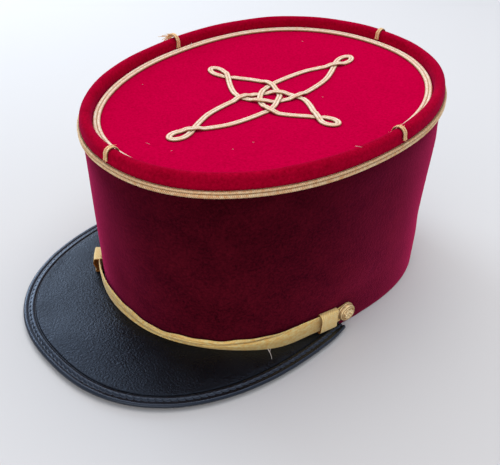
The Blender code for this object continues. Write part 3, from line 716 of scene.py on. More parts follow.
def rim_profile(gap, leg=8, crest=15):
    """The rim's face moved out by a gap: up from the seam, over a half circle, down to the top."""
    radius = RIM_WIDTH / 2
    climb = np.linspace(0.0, 1.0, leg, endpoint=False)
    outside = np.stack([gap + RIM_PADDING * np.sin(math.pi * climb) ** 2,
                        SEAM_DROP - GAP / 2 + (radius - SEAM_DROP) * climb], axis=-1)
    turn = np.linspace(0.0, math.pi, crest)
    over = np.stack([(radius + gap) * np.cos(turn) - radius,
                     radius - (radius + gap) * np.sin(turn)], axis=-1)
    fall = np.linspace(0.0, 1.0, leg)[1:]
    inside = np.stack([-RIM_WIDTH - gap + 0 * fall,
                       radius + (DISC_DROP + DISC_WALL - radius) * fall], axis=-1)
    return np.concatenate([outside, over, inside])


def rim_swell(share, drop):
    """How the roll's thickness changes round the rim: fuller between the four tabs."""
    fuller = 0.28 * np.abs(np.sin(2 * math.pi * 2 * share)) - 0.12
    uneven = 0.10 * np.sin(2 * math.pi * 9 * share + 1.0) + 0.07 * np.sin(2 * math.pi * 17 * share)
    return (fuller + uneven) * MM * smooth((6.4 * MM - drop) / (2.5 * MM))


def rim_roll():
    """Rows run round the rim. Columns run over the roll's face, then back along its lining."""
    share = ROUND[:, None]
    rim = rim_at(share)
    face = rim_profile(0.0)
    lining = rim_profile(-RIM_WALL)[::-1][::2]
    lining[:, 0] = np.clip(lining[:, 0], RIM_WALL - RIM_WIDTH, -RIM_WALL)
    grown = rim_swell(share, face[:, 1])
    level = np.sign(face[:, 0] + RIM_WIDTH / 2)
    crest = smooth(1 - face[:, 1] / (RIM_WIDTH / 2))
    outer = skin(share, rim - face[:, 1] + grown * crest, face[:, 0] + grown * level * (1 - crest))
    inner = skin(share, rim - lining[:, 1], lining[:, 0])
    under = np.repeat((0, 1), (len(face), len(lining)))
    grid = ring_grid(np.concatenate([outer, inner], axis=1), under=under)
    piece("rim_cloth_roll", [grid], [RIM_CLOTH, STIFFENER], ["rim_roll"])


rim_roll()

# %% [markdown]
# ## The knot's route
# The knot is one closed loop of flat braid. A single strand, from the front eyelet to the left one, is
# repeated four times by mirroring, with an eyelet between each two. At every crossing it lies over and
# under by turns, and its height follows the distance along the braid from the crossings where it is over.

# %% Knot route
KNOT_LONG_ARM = 71.0 * MM
KNOT_SIDE_ARM = 47.7 * MM
KNOT_CENTRE_Y = -1.5 * MM
KNOT_WIDTH = 3.2 * MM
KNOT_THICK = 1.0 * MM
KNOT_LIFT_HEIGHT = 0.9 * MM
KNOT_LIFT_REACH = 6.8 * MM
KNOT_LIFT_SLOPE = 4.8 * MM
KNOT_PRESS = 0.4
KNOT_PRESS_REACH = 4.0 * MM
KNOT_PRESS_SLOPE = 2.0 * MM
KNOT_STEP = 0.17 * MM
KNOT_SPAN_SAMPLES = 24

# Columns: share of the side arm, share of the long arm, 1 over or 0 under at a crossing
KNOT_STRAND = (
    (0.000, -0.793, 0), (-0.092, -0.669, None), (-0.165, -0.542, None), (-0.202, -0.394, None),
    (-0.216, -0.260, None), (-0.216, -0.166, 1), (-0.186, -0.078, None), (-0.130, 0.000, 0),
    (-0.070, 0.062, None), (0.000, 0.104, 1), (0.100, 0.139, None), (0.224, 0.162, 0),
    (0.341, 0.155, None), (0.461, 0.116, None), (0.582, 0.062, None), (0.715, 0.000, 1),
)
# Columns: share of the way from an eyelet's crossing to its tip, half-width in braid widths
KNOT_EYELET = ((0.30, 0.72), (0.62, 1.04), (0.88, 0.74), (1.00, 0.00))


def knot_route():
    """The knot's points in plan, and the numbers of those where it lies over and under."""
    strand = np.array([(x, y) for x, y, _ in KNOT_STRAND]) * (KNOT_SIDE_ARM, KNOT_LONG_ARM)
    crossing = np.array([flag is not None for _, _, flag in KNOT_STRAND])
    over = np.array([bool(flag) for _, _, flag in KNOT_STRAND])
    legs = [((KNOT_SIDE_ARM, 0.0), (1, 1), 1), ((0.0, KNOT_LONG_ARM), (1, -1), -1),
            ((-KNOT_SIDE_ARM, 0.0), (-1, -1), 1), ((0.0, -KNOT_LONG_ARM), (-1, 1), -1)]
    route = []
    lifted = []
    lowered = []
    for tip, mirror, way in legs:
        leg = (strand * mirror)[::way]
        high = over if way > 0 else crossing & ~over
        lifted += [len(route) + number for number in np.flatnonzero(high[::way])]
        lowered += [len(route) + number for number in np.flatnonzero((crossing & ~high)[::way])]
        reach = np.array(tip) - leg[-1]
        side = right_of(reach)
        side *= np.sign(np.dot(side, leg[-1] - leg[-2]))
        half = [(share, width * KNOT_WIDTH) for share, width in KNOT_EYELET]
        loop = half + [(share, -width) for share, width in half[-2::-1]]
        route += [*leg, *(leg[-1] + reach * share + side * width for share, width in loop)]
    return np.array(route), lifted, lowered


def smooth_path(points, samples):
    """A closed Catmull-Rom curve through the points, with as many samples for each span."""
    place = np.arange(len(points) * samples) / samples
    index = place.astype(int)
    part = (place - index)[:, None]
    before, start, end, after = (points[(index + shift) % len(points)] for shift in (-1, 0, 1, 2))
    return start + 0.5 * part * (end - before + part * (2 * before - 5 * start + 4 * end - after
                                 + part * (3 * (start - end) + after - before)))


def knot_path():
    """The knot's even path in plan, its lift and its share of the full thickness, and its length.

    The braid is lifted near the crossings where it is over, and pressed flat where it is under.
    """
    route, lifted, lowered = knot_route()
    curve = smooth_path(route, KNOT_SPAN_SAMPLES) + (0.0, KNOT_CENTRE_Y + CROWN_Y)
    closed = np.concatenate([curve, curve[:1]])
    travelled = distances(closed)
    length = travelled[-1]
    count = int(round(length / KNOT_STEP))
    wanted = np.arange(count) * length / count

    def near(numbers, reach, slope):
        """1 close to the numbered points and 0 beyond the reach, along the braid."""
        gaps = np.abs(wanted[:, None] - travelled[np.array(numbers) * KNOT_SPAN_SAMPLES])
        return smooth((reach - np.minimum(gaps, length - gaps).min(axis=1)) / slope)

    lift = KNOT_LIFT_HEIGHT * near(lifted, KNOT_LIFT_REACH, KNOT_LIFT_SLOPE)
    flat = 1 - KNOT_PRESS * near(lowered, KNOT_PRESS_REACH, KNOT_PRESS_SLOPE)
    return at_distance(closed, travelled, wanted), lift, flat, length


KNOT_PATH, KNOT_LIFT, KNOT_FLAT, KNOT_LENGTH = knot_path()
print("the knot's braid is", round(KNOT_LENGTH / MM), "mm long")

# %% [markdown]
# ## The sunken top
# A disc of cloth, stretched over the rim's inside and sagging in the middle. Sewn-down braid presses into
# it, so each point of the cloth sinks a little by its distance to the nearest point of the knot.

# %% Top disc
PRESS_DEPTH = 0.35 * MM
PRESS_WIDTH = 2.0 * MM
# Columns: those that lint() asks for
DISC_LINT = (
    (20.0, 19.5, 0.1, 40, 0.8, 0.13, 0.0), (29.0, -44.2, 0.1, 80, 1.4, 0.09, 0.0),
    (27.6, -56.2, 0.1, 130, 0.8, 0.14, 0.0), (9.4, -79.5, 0.1, 20, 0.6, 0.10, 0.0),
    (-57.0, -45.2, 0.1, 150, 1.2, 0.09, 0.0), (-36.6, 66.6, 0.1, 60, 1.0, 0.10, 0.0),
    (-4.5, -83.7, 0.1, 70, 4.0, 0.08, 0.0), (-77.0, 8.2, 2.2, 138, 8.5, 0.12, -0.10),
    (78.1, -28.7, 8.2, 60, 3.0, 0.10, 0.0),
)


def disc_edge(share):
    """The disc's edge in plan, inside the rim roll."""
    return skin(share, rim_at(share) - DISC_DROP, -RIM_WIDTH - GAP)[..., :2]


def disc_plane(flat, share_out):
    """The cloth's height: below the rim's plane by the drop, and by the sag that fades outwards."""
    return rim_height(flat[..., 1]) - DISC_DROP - DISC_SAG * (1 - share_out ** 2)


def disc_point(share, share_out, up):
    """A point of the top at a share round, a share of the way out, and a height over the cloth."""
    share, share_out, up = np.broadcast_arrays(np.asarray(share, float), share_out, up)
    flat = DISC_MIDDLE + (disc_edge(share) - DISC_MIDDLE) * share_out[..., None]
    return at_height(flat, disc_plane(flat, share_out) + up)


def cloth_height(flat):
    """The cloth's height over any point in plan."""
    edge = disc_edge(np.arange(720) / 720) - DISC_MIDDLE
    turn = np.arctan2(edge[:, 1], edge[:, 0])
    away = flat - DISC_MIDDLE
    reach = np.interp(np.arctan2(away[..., 1], away[..., 0]), turn, np.linalg.norm(edge, axis=-1),
                      period=2 * math.pi)
    return disc_plane(flat, np.linalg.norm(away, axis=-1) / reach)


def pressed(points):
    """How far the cloth is pressed down beside the knot: a narrow bell curve of the distance."""
    path = KNOT_PATH[::8]
    away = np.full(len(points), 1.0)
    for block in np.array_split(np.arange(len(points)), 40):
        gaps = points[block, None, :2] - path[None]
        away[block] = np.sqrt((gaps ** 2).sum(axis=-1).min(axis=1))
    return PRESS_DEPTH * np.exp(-(away / PRESS_WIDTH) ** 2)


def top_disc():
    """Rows run from the middle out over the cloth, then back below it. Columns run round."""
    out = np.concatenate([np.linspace(0.01, 0.96, 110), np.linspace(0.965, 1.0, 6)])[:, None]
    swell = 0.25 * MM * np.sin(2 * math.pi * (2 * ROUND + 0.1)) * out * (1 - out)
    tuck = 0.7 * MM * smooth((out - 0.975) / 0.025)
    upper = disc_point(ROUND, out, swell + tuck)
    upper[..., 2] -= pressed(upper.reshape(-1, 3)).reshape(upper.shape[:2])
    lower = disc_point(ROUND, out[::-4], -DISC_WALL)
    grids = [tube_grid(np.concatenate([upper, lower])), *lint(DISC_LINT, cloth_height)]
    piece("top_cloth_disc", grids, [TOP_CLOTH, LINT], ["top_disc"])


top_disc()

# %% [markdown]
# ## Flat braid
# Braid of this kind has two round cores side by side, wrapped by threads that cross between them, so its
# top shows two ribs and a chevron. The section is a height over the width, and the chevron is a wave that
# runs along the braid and slants the same way up both ribs.

# %% Braid sections


def rib_section(along, width, thick, pitch, columns=12, split=0.0, dark=0.75):
    """Two-ribbed braid's section at each place along it: across and up offsets, and groove marks for
    painted shade.

    Across runs from -1 to 1 of the half-width. A rib's height is the half circle
    sqrt(1 - s^2), s = 2|across| - 1, over a flat base, and its thread wave is
    cos(2 pi (along / pitch + 0.55 s)). The split moves the groove between the ribs off the middle.
    """
    turn = np.linspace(-1.0, 1.0, 2 * columns)
    across = np.sign(turn) * (1 - np.cos(math.pi * np.abs(turn))) / 2
    slope = 2 * np.abs(across) - 1
    rib = np.sqrt(np.clip(1 - slope ** 2, 0.0, 1.0))
    wave = np.cos(2 * math.pi * (along[:, None] / pitch + 0.55 * slope[None, :]))
    wave = 0.5 + 0.5 * wave
    up = thick * (0.34 + 0.54 * rib[None, :] + 0.12 * np.sqrt(wave) * rib[None, :])
    # Painted shade: darker down the ribs' sides and between them (by dark), and where the thread wave
    # dips.
    groove = np.clip(dark * (1 - rib[None, :]) ** 1.4 + 0.5 * (1 - wave) ** 2, 0.0, 1.0)
    across = split + across * (1 - split * np.sign(across))
    low = np.array([0.9, 0.3, -0.3, -0.9])
    across = np.concatenate([across, low])
    up = np.concatenate([up, np.zeros((len(along), 4))], axis=1)
    # The four points under the braid are marked as full painted shade.
    groove = np.concatenate([groove, np.ones((len(along), 4))], axis=1)
    return across * width / 2, up, groove


RIB_STEPS = 4
OUTER_BRAID_HEIGHT = 3.9 * MM
OUTER_BRAID_THICK = 1.6 * MM
INNER_BRAID_WIDTH = 3.8 * MM
INNER_BRAID_THICK = 1.25 * MM
INNER_BRAID_LENGTH = 0.87 * PERIMETER
BRAID_PITCH = 0.85 * MM
KNOT_BRAID_PITCH = 0.72 * MM
KNOT_OVER_CLOTH = 0.15 * MM


def braid_ring(length, width, thick, columns, **section):
    """Shares round the crown, close enough to show each thread, and the section at each of them."""
    count = int(length / BRAID_PITCH) * RIB_STEPS
    number = np.arange(count)
    along = number / RIB_STEPS * BRAID_PITCH
    return (number / count)[:, None], *rib_section(along, width, thick, BRAID_PITCH, columns, **section)


def outer_braid():
    """The seam's braid: the section stands on the crown's face, its width upright."""
    share, across, up, groove = braid_ring(PERIMETER, OUTER_BRAID_HEIGHT, OUTER_BRAID_THICK, 9,
                                           split=0.22, dark=1.2)
    drift = 0.12 * MM * np.sin(2 * math.pi * (7 * share + 0.3)) * np.sin(2 * math.pi * 3 * share)
    points = skin(share, rim_at(share) - SEAM_DROP + across + drift, GAP + up)
    grid = ring_grid(points, groove=groove, size=(PERIMETER, 2 * OUTER_BRAID_HEIGHT))
    piece("outer_gold_braid", [grid], [BRAID], ["outer_braid"])


def inner_braid():
    """The top's braid ring, lying on the cloth just inside the rim."""
    share, across, up, groove = braid_ring(INNER_BRAID_LENGTH, INNER_BRAID_WIDTH, INNER_BRAID_THICK, 8,
                                           dark=1.3)
    reach = np.linalg.norm(disc_edge(share) - DISC_MIDDLE, axis=-1)
    middle = GAP + INNER_BRAID_WIDTH / 2 + 0.15 * MM * np.sin(2 * math.pi * 6 * share)
    points = disc_point(share, 1 - (middle + across) / reach, GAP + up)
    grid = ring_grid(points, groove=groove, size=(INNER_BRAID_LENGTH, 2 * INNER_BRAID_WIDTH))
    piece("inner_gold_braid", [grid], [CREAM_BRAID], ["inner_braid"])


def knot():
    """The knot: the section carried along its path, over the cloth and over itself."""
    along = np.arange(len(KNOT_PATH)) * KNOT_LENGTH / len(KNOT_PATH)
    pitch = KNOT_LENGTH / round(KNOT_LENGTH / KNOT_BRAID_PITCH)
    across, up, groove = rib_section(along, KNOT_WIDTH, KNOT_THICK, pitch, 6, dark=1.2)
    normal = right_of(np.roll(KNOT_PATH, -2, axis=0) - np.roll(KNOT_PATH, 2, axis=0))
    flat = KNOT_PATH[:, None, :] + normal[:, None, :] * across[None, :, None]
    height = cloth_height(flat) + KNOT_OVER_CLOTH + KNOT_LIFT[:, None] + up * KNOT_FLAT[:, None]
    grid = ring_grid(at_height(flat, height), groove=groove, size=(KNOT_LENGTH, 2 * KNOT_WIDTH))
    piece("gold_knot", [grid], [CREAM_BRAID], ["top_knot"])


outer_braid()
inner_braid()
knot()

# %% [markdown]
# ## The four rim tabs
# Short ends of a narrower braid, folded over the rim at front, back and sides. Their cut ends fray, and
# the one at the wearer's right has come loose, with longer threads standing out.

# %% Rim tabs
TAB_WIDTH = 2.9 * MM
TAB_THICK = 0.7 * MM
TAB_HEM_GAP = 1.7 * MM
TAB_RIB_COLUMNS = 9
TAB_ROWS = 110
LOOSE_ROWS = (30, 60)
END_THREADS = 14
MM_PER_LOOSE_THREAD = 0.05 * MM


def frayed_end(points, row, beside):
    """Short threads at the cut end in one row, pointing away from the row beside it."""
    way = unit(points[row].mean(0) - points[beside].mean(0))
    threads = []
    for _ in range(END_THREADS):
        start = points[row, RANDOM.integers(1, 2 * TAB_RIB_COLUMNS - 1)] - way * 0.3 * MM
        lean = RANDOM.normal(0.0, 0.22, 3)
        threads.append(thread(start, way + lean, RANDOM.uniform(0.3, 0.8) * MM,
                              RANDOM.normal(0.0, 0.2, 3)))
    return threads


def loose_threads(points, sideways, count):
    """Longer and thicker threads that stand out from the loose part of a tab.

    Sideways is the x part of the way out of the crown there: the threads lean by it on all three axes.
    """
    threads = []
    for _ in range(count):
        start = points[RANDOM.integers(*LOOSE_ROWS), RANDOM.integers(1, 2 * TAB_RIB_COLUMNS - 1)]
        lean = sideways * RANDOM.uniform(0.6, 1.2) + RANDOM.normal(0.0, 0.45, 3)
        threads.append(thread(start, lean, RANDOM.uniform(1.2, 3.4) * MM, RANDOM.normal(0.0, 0.3, 3),
                              0.16 * MM))
    return threads


def rim_tab(name, share, node_name, loose):
    """Braid folded over the rim roll's own profile, with frayed threads at its two ends.

    A loose tab stands off the roll by loose * sin(pi * way^0.7)^2, most of all outside the crest.
    """
    profile = evenly(rim_profile(GAP, 20, 40), 400)
    foot = DISC_DROP - 2 * GAP - INNER_BRAID_THICK
    hem = SEAM_DROP - OUTER_BRAID_HEIGHT / 2 - TAB_HEM_GAP
    first = int(np.argmax(profile[:, 1] < hem))
    inner_leg = profile[:, 0] < -RIM_WIDTH / 2
    last = int(np.argmax(inner_leg & (profile[:, 1] > foot)))
    path = evenly(profile[first:last], TAB_ROWS)
    normal = -right_of(np.gradient(path, axis=0))
    length = length_of(path)
    along = np.linspace(0.0, length, TAB_ROWS)
    across, up, groove = rib_section(along, TAB_WIDTH, TAB_THICK, BRAID_PITCH, TAB_RIB_COLUMNS)
    standing = loose * np.sin(math.pi * (along / length) ** 0.7) ** 2
    lifted = path[:, None, :] + normal[:, None, :] * (up + standing[:, None])[..., None]
    waist = 1 - 0.08 * np.sin(math.pi * along / length)
    shares = share + across[None, :] * waist[:, None] / PERIMETER
    rim = rim_at(share)
    points = skin(shares, rim - lifted[..., 1], lifted[..., 0])
    sideways = (skin(share, rim, 1.0) - skin(share, rim, 0.0))[0]
    grids = [tube_grid(points, groove=groove, size=(length, 2 * TAB_WIDTH)),
             *frayed_end(points, 0, 3), *frayed_end(points, -1, -4),
             *loose_threads(points, sideways, int(loose / MM_PER_LOOSE_THREAD))]
    piece(name, grids, [TAB_BRAID], [node_name])


for side, share, loose in (("back", 0.0, 0.1), ("right", 0.25, 1.5), ("front", 0.5, 0.1),
                           ("left", 0.758, 0.1)):
    rim_tab("gold_tab_" + side, share, "rim_tab_" + side, loose * MM)

# %% [markdown]
# ## The peak
# A nearly flat plate of grained leather, held in a glossy binding. The binding has a round bead at the
# edge, a groove, and a ridge whose outer half is cut into slanting teeth. Its section is a profile over
# the inset from the edge. The plate's pared tongue goes under the ridge.

# %% Peak outline
# Columns: those that lint() asks for
PEAK_LINT = (
    (68.6, -65.3, 0.7, 104, 6.8, 0.30, -0.03), (69.2, -64.0, 0.7, 128, 2.6, 0.22, -0.05),
    (-40.6, -98.8, 0.2, 30, 0.8, 0.30, 0.0), (16.5, -132.8, 0.1, 80, 0.8, 0.30, 0.0),
    (24.7, -129.2, 0.1, 140, 0.7, 0.25, 0.0), (-12.0, -120.0, 0.3, 60, 0.5, 0.18, 0.0),
)
PEAK_HALF_WIDTH = 87.3 * MM
PEAK_WIDEST_Y = -37.2 * MM
PEAK_END_Y = -20.0 * MM
PEAK_END_HALF_WIDTH = 85.6 * MM
PEAK_FULLNESS = 2.36
PEAK_THICK = 1.9 * MM
PEAK_TONGUE = 1.1 * MM
PEAK_EDGE_Z = 3.0 * MM
PEAK_ROOT_RISE = 0.6 * MM
PEAK_DOME = 0.7 * MM
BINDING_WIDTH = 6.5 * MM
BINDING_HALF_THICK = 1.25 * MM
BINDING_BITE = 0.42 * BINDING_WIDTH
TONGUE_TOP = PEAK_TONGUE - PEAK_THICK / 2
PEAK_ROWS = 361
PEAK_EDGE_ROUND = 0.5 * MM
PEAK_LINT_HEIGHT = 4.0 * MM


def peak_outline(count):
    """The peak's edge in plan, right end to left end: a half superellipse with two short tails."""
    turn = np.linspace(0.0, math.pi, 1440)
    reach = PEAK_WIDEST_Y + PEAK_REACH
    x = -PEAK_HALF_WIDTH * np.sign(np.cos(turn)) * np.abs(np.cos(turn)) ** (2 / PEAK_FULLNESS)
    y = PEAK_WIDEST_Y - reach * np.sin(turn) ** (2 / PEAK_FULLNESS)
    tail = np.linspace(1.0, 0.0, 240, endpoint=False)
    tail_x = PEAK_HALF_WIDTH - (PEAK_HALF_WIDTH - PEAK_END_HALF_WIDTH) * tail ** 2
    tail_y = PEAK_WIDEST_Y + (PEAK_END_Y - PEAK_WIDEST_Y) * tail
    x = np.concatenate([-tail_x, x, tail_x[::-1]])
    y = np.concatenate([tail_y, y, tail_y[::-1]]) + CROWN_Y
    return evenly(np.stack([x, y], axis=-1), count)


def peak_frame(count):
    """Edge points, root points at the crown, the inward way, and how far the binding narrows."""
    edge = peak_outline(count)
    left_end = base_share(PEAK_END_Y)
    root = skin(np.linspace(1 - left_end, left_end, count), PEAK_EDGE_Z, GAP)[:, :2]
    inward = -right_of(np.gradient(edge, axis=0))
    room = np.linalg.norm(root - edge, axis=-1)
    return edge, root, inward, np.minimum(1.0, (room - 4 * GAP) / BINDING_WIDTH)


def peak_top(flat):
    """About how high the peak's upper face lies, for the lint on it."""
    return np.full(len(flat), PEAK_LINT_HEIGHT)


def peak():
    """The leather plate: columns run from its tongue, over the body to its root, then back below."""
    edge, root, inward, scale = peak_frame(PEAK_ROWS)
    start = edge + inward * (BINDING_BITE * scale + GAP)[:, None]
    bound = edge + inward * (BINDING_WIDTH * scale + 0.5 * GAP)[:, None]
    room = np.linalg.norm(root - bound, axis=-1, keepdims=True)
    depth = room / room.max()
    step = np.linspace(0.0, 1.0, 70)[None, :] ** 1.3
    flat = bound[:, None] + (root - bound)[:, None] * step[..., None]
    swell = (0.35 * np.sin(flat[..., 0] * 55 + 1.3) * np.sin(flat[..., 1] * 48)
             + 0.2 * np.sin(flat[..., 0] * 120 - flat[..., 1] * 75)) * MM
    swell *= smooth(step * 5) * smooth((1 - step) * 6) * depth
    dome = PEAK_DOME * np.sin(math.pi * step) * depth
    middle = PEAK_EDGE_Z + PEAK_ROOT_RISE * depth * step ** 1.3 + swell + dome
    edge_round = 1 - np.clip(room * step / PEAK_EDGE_ROUND, 0.0, 1.0)
    rounded = PEAK_EDGE_ROUND * (1 - np.sqrt(np.clip(1 - edge_round ** 2, 0.0, 1.0)))
    tongue = np.stack([start, bound], axis=1)
    columns = [at_height(tongue, PEAK_EDGE_Z + TONGUE_TOP),
               at_height(flat, middle + PEAK_THICK / 2 - rounded),
               at_height(flat, middle - PEAK_THICK / 2)[:, ::-2],
               at_height(tongue[:, :1], PEAK_EDGE_Z - PEAK_THICK / 2)]
    grids = [tube_grid(np.concatenate(columns, axis=1)), *lint(PEAK_LINT, peak_top)]
    piece("leather_peak", grids, [PEAK_LEATHER, LINT], ["peak"])


# The binding's top after the bead, in millimetres: inset from the edge, height over the mid-plane
BINDING_TOP = ((1.3, 1.25), (1.8, 1.20), (2.2, 1.02), (2.5, 0.80), (2.75, 0.64), (3.05, 0.62),
               (3.35, 0.76), (3.7, 1.00), (4.1, 1.18), (4.5, 1.28), (4.9, 1.32), (5.3, 1.26),
               (5.6, 1.08), (5.85, 0.80), (6.05, 0.62), (6.25, 0.57), (6.5, 0.55))
NOTCH_PITCH = 3.78 * MM
NOTCH_FROM, NOTCH_TO = 3.0 * MM, 4.65 * MM
NOTCH_FLOOR = 0.60 * MM
NOTCH_STEPS = 14
BEAD_WIDTH = 1.3 * MM


def notches(along, inset, rise):
    """The ridge's height with slanting teeth cut into its outer half.

    At an inset the tooth is narrower the further it reaches in: its half-width is 0.36 * (1 - t) of
    a pitch, with t the way from NOTCH_FROM to NOTCH_TO, and inside it the ridge drops to the groove.
    """
    way = np.clip((inset - NOTCH_FROM) / (NOTCH_TO - NOTCH_FROM), 0.0, 1.0)
    phase = (along[:, None] / NOTCH_PITCH + 0.55 * way[None, :]) % 1.0
    half = 0.36 * (1 - way[None, :])
    cut = smooth((half - np.abs(phase - 0.5)) / 0.10) * (inset > NOTCH_FROM) * (inset < NOTCH_TO)
    return rise + (NOTCH_FLOOR - rise) * cut


def peak_binding():
    """The binding: a round bead, a groove, a notched ridge, the slot for the leather, a flat back."""
    length = length_of(peak_outline(721))
    count = int(length / NOTCH_PITCH) * NOTCH_STEPS
    edge, _, inward, scale = peak_frame(count)
    high, wide = BINDING_HALF_THICK, BINDING_WIDTH
    slot = TONGUE_TOP + 0.5 * GAP
    turn = np.linspace(-0.46 * math.pi, 0.5 * math.pi, 13)[:-1]
    top = np.array(BINDING_TOP) * MM
    ridge_inset, ridge_rise = at_distance(top, np.arange(len(top)), np.linspace(0.0, len(top) - 1, 36)).T
    back = np.array([(wide, slot), (BINDING_BITE, slot), (BINDING_BITE, -high), (0.22 * wide, -high)])
    inset = np.concatenate([BEAD_WIDTH * (1 - np.cos(turn)), ridge_inset, back[:, 0]])
    rise = np.concatenate([high * np.sin(turn), ridge_rise, back[:, 1]])
    along = np.linspace(0.0, length, count)
    up = np.broadcast_to(rise, (count, len(rise))).copy()
    upper = len(turn) + len(ridge_rise)
    up[:, len(turn):upper] = notches(along, ridge_inset, ridge_rise)
    wear = 0.06 * MM * np.sin(along * 310) * np.sin(along * 77 + 1)
    up[:, :upper] += wear[:, None]
    flat = edge[:, None] + inward[:, None] * (inset[None, :] * scale[:, None])[..., None]
    grid = tube_grid(at_height(flat, PEAK_EDGE_Z + up), size=(length, 3 * wide))
    piece("milled_binding", [grid], [BINDING_LEATHER], ["peak_binding"])


peak()
peak_binding()

# %% [markdown]
# ## The chin strap
# Gold lace, stiff and flat at the buttons, but creased along its middle across the front, where the upper
# edge has rolled outwards. Its section is carried along the crown's skin, and its ends are half circles.

# %% Strap
STRAP_WIDTH = 11.6 * MM
STRAP_THICK = 0.8 * MM
STRAP_FLARE = 5.2 * MM
KEEPER_LENGTH = 11.6 * MM
KEEPER_WALL = 0.6 * MM
BUTTON_Y = -18.4 * MM
BUTTON_ABOVE_STRAP = 0.9 * MM
BUTTON_RADIUS = 5.5 * MM
BUTTON_DOME = 3.3 * MM
BUTTON_EDGE = 0.9 * MM
BUTTON_SHARE = base_share(BUTTON_Y)
STRAP_SEAT = 2 * GAP + KEEPER_WALL
STRAP_FOOT_Z = PEAK_EDGE_Z + PEAK_THICK / 2 + PEAK_ROOT_RISE + GAP
STRAP_SIDE_DROP = 0.7 * MM
STRAP_END_RISE = 2.0 * MM
STRAP_BULGE = 0.8 * MM
STRAP_TUCK = 0.5 * MM
STRAP_CRINKLE = 0.10 * MM
WEAVE_RELIEF = 0.05 * MM
WEAVE_PITCH = 1.1 * MM

# Columns: way round, height as a share of the width, how far the lower and the upper edge stand out
# as shares of the flare, how far it is lifted as a share of what a keeper needs, and where across it
# the crease runs
STRAP_LIE = (
    (-1.00, 1.00, 0.00, 0.00, 1.0, 0.90), (-0.54, 0.92, 0.00, 0.00, 1.0, 0.90),
    (-0.48, 0.69, 0.00, 0.00, 1.0, 0.75), (-0.38, 0.68, 0.00, 0.00, 1.0, 0.60),
    (-0.30, 0.84, 0.02, 0.10, 0.8, 0.42), (-0.20, 0.86, 0.06, 0.20, 0.4, 0.22),
    (-0.10, 0.76, 0.32, 0.30, 0.0, -0.02), (0.00, 0.50, 0.56, 0.36, 0.0, -0.20),
    (0.12, 0.42, 0.46, 0.42, 0.0, -0.38), (0.22, 0.45, 0.25, 0.44, 0.0, -0.42),
    (0.32, 0.50, 0.14, 0.42, 0.0, -0.30), (0.42, 0.53, 0.20, 0.36, 0.0, -0.05),
    (0.54, 0.61, 0.32, 0.24, 0.0, 0.34), (0.66, 0.82, 0.34, 0.10, 0.0, 0.74),
    (0.75, 0.96, 0.20, 0.02, 0.5, 0.90), (0.82, 0.98, 0.00, 0.00, 1.0, 0.90),
    (1.00, 0.98, 0.00, 0.00, 1.0, 0.90),
)


def strap_way(share):
    """-1 at the right button, 0 at the front, 1 at the left button."""
    return (np.asarray(share) - 0.5) / (BUTTON_SHARE - 0.5)


def strap_lie(share, column):
    """A column of the table at a share round, with its corners rounded off over a tenth of the way."""
    rows = np.array(STRAP_LIE)
    spread = np.linspace(-0.05, 0.05, 9)
    return sum(np.interp(strap_way(share) + part, rows[:, 0], rows[:, column]) for part in spread) / 9


def strap_half(share):
    """Half of the strap's height: less where it is creased lengthwise."""
    return STRAP_WIDTH / 2 * strap_lie(share, 1)


def strap_foot(share):
    """The height of what the strap rests on: the peak, a little lower towards its ends."""
    return STRAP_FOOT_Z - STRAP_SIDE_DROP * smooth((np.abs(strap_way(share)) - 0.3) / 0.3)


def strap_height(share):
    """The strap's middle line: its lower edge rests on the peak, or is held up by a keeper.

    Its ends turn up a little, to the buttons.
    """
    rise = STRAP_END_RISE * smooth((np.abs(strap_way(share)) - 0.94) / 0.08)
    return strap_foot(share) + (GAP + KEEPER_WALL) * strap_lie(share, 4) + strap_half(share) + rise


def strap_out(share):
    """How far the strap stands off the crown: close left of the front, with a bulge further left."""
    way = strap_way(share)
    near = smooth((np.abs(way - 0.25) - 0.20) / 0.25)
    return GAP + (STRAP_SEAT - GAP) * near + STRAP_BULGE * np.exp(-((way - 0.70) / 0.11) ** 2)


def weave(along, across):
    """Lace relief: a diagonal twill with a plain selvedge at each edge, across from -1 to 1."""
    twill = np.sin(2 * math.pi * (along + across * STRAP_WIDTH / 2) / WEAVE_PITCH)
    return twill * smooth((1.0 - np.abs(across)) / 0.12)


def rolled(part, straight, round_part):
    """How far one band of the creased strap stands out: straight * t + round_part * sin(pi t^0.65)."""
    return straight * part + round_part * np.sin(math.pi * part ** 0.65)


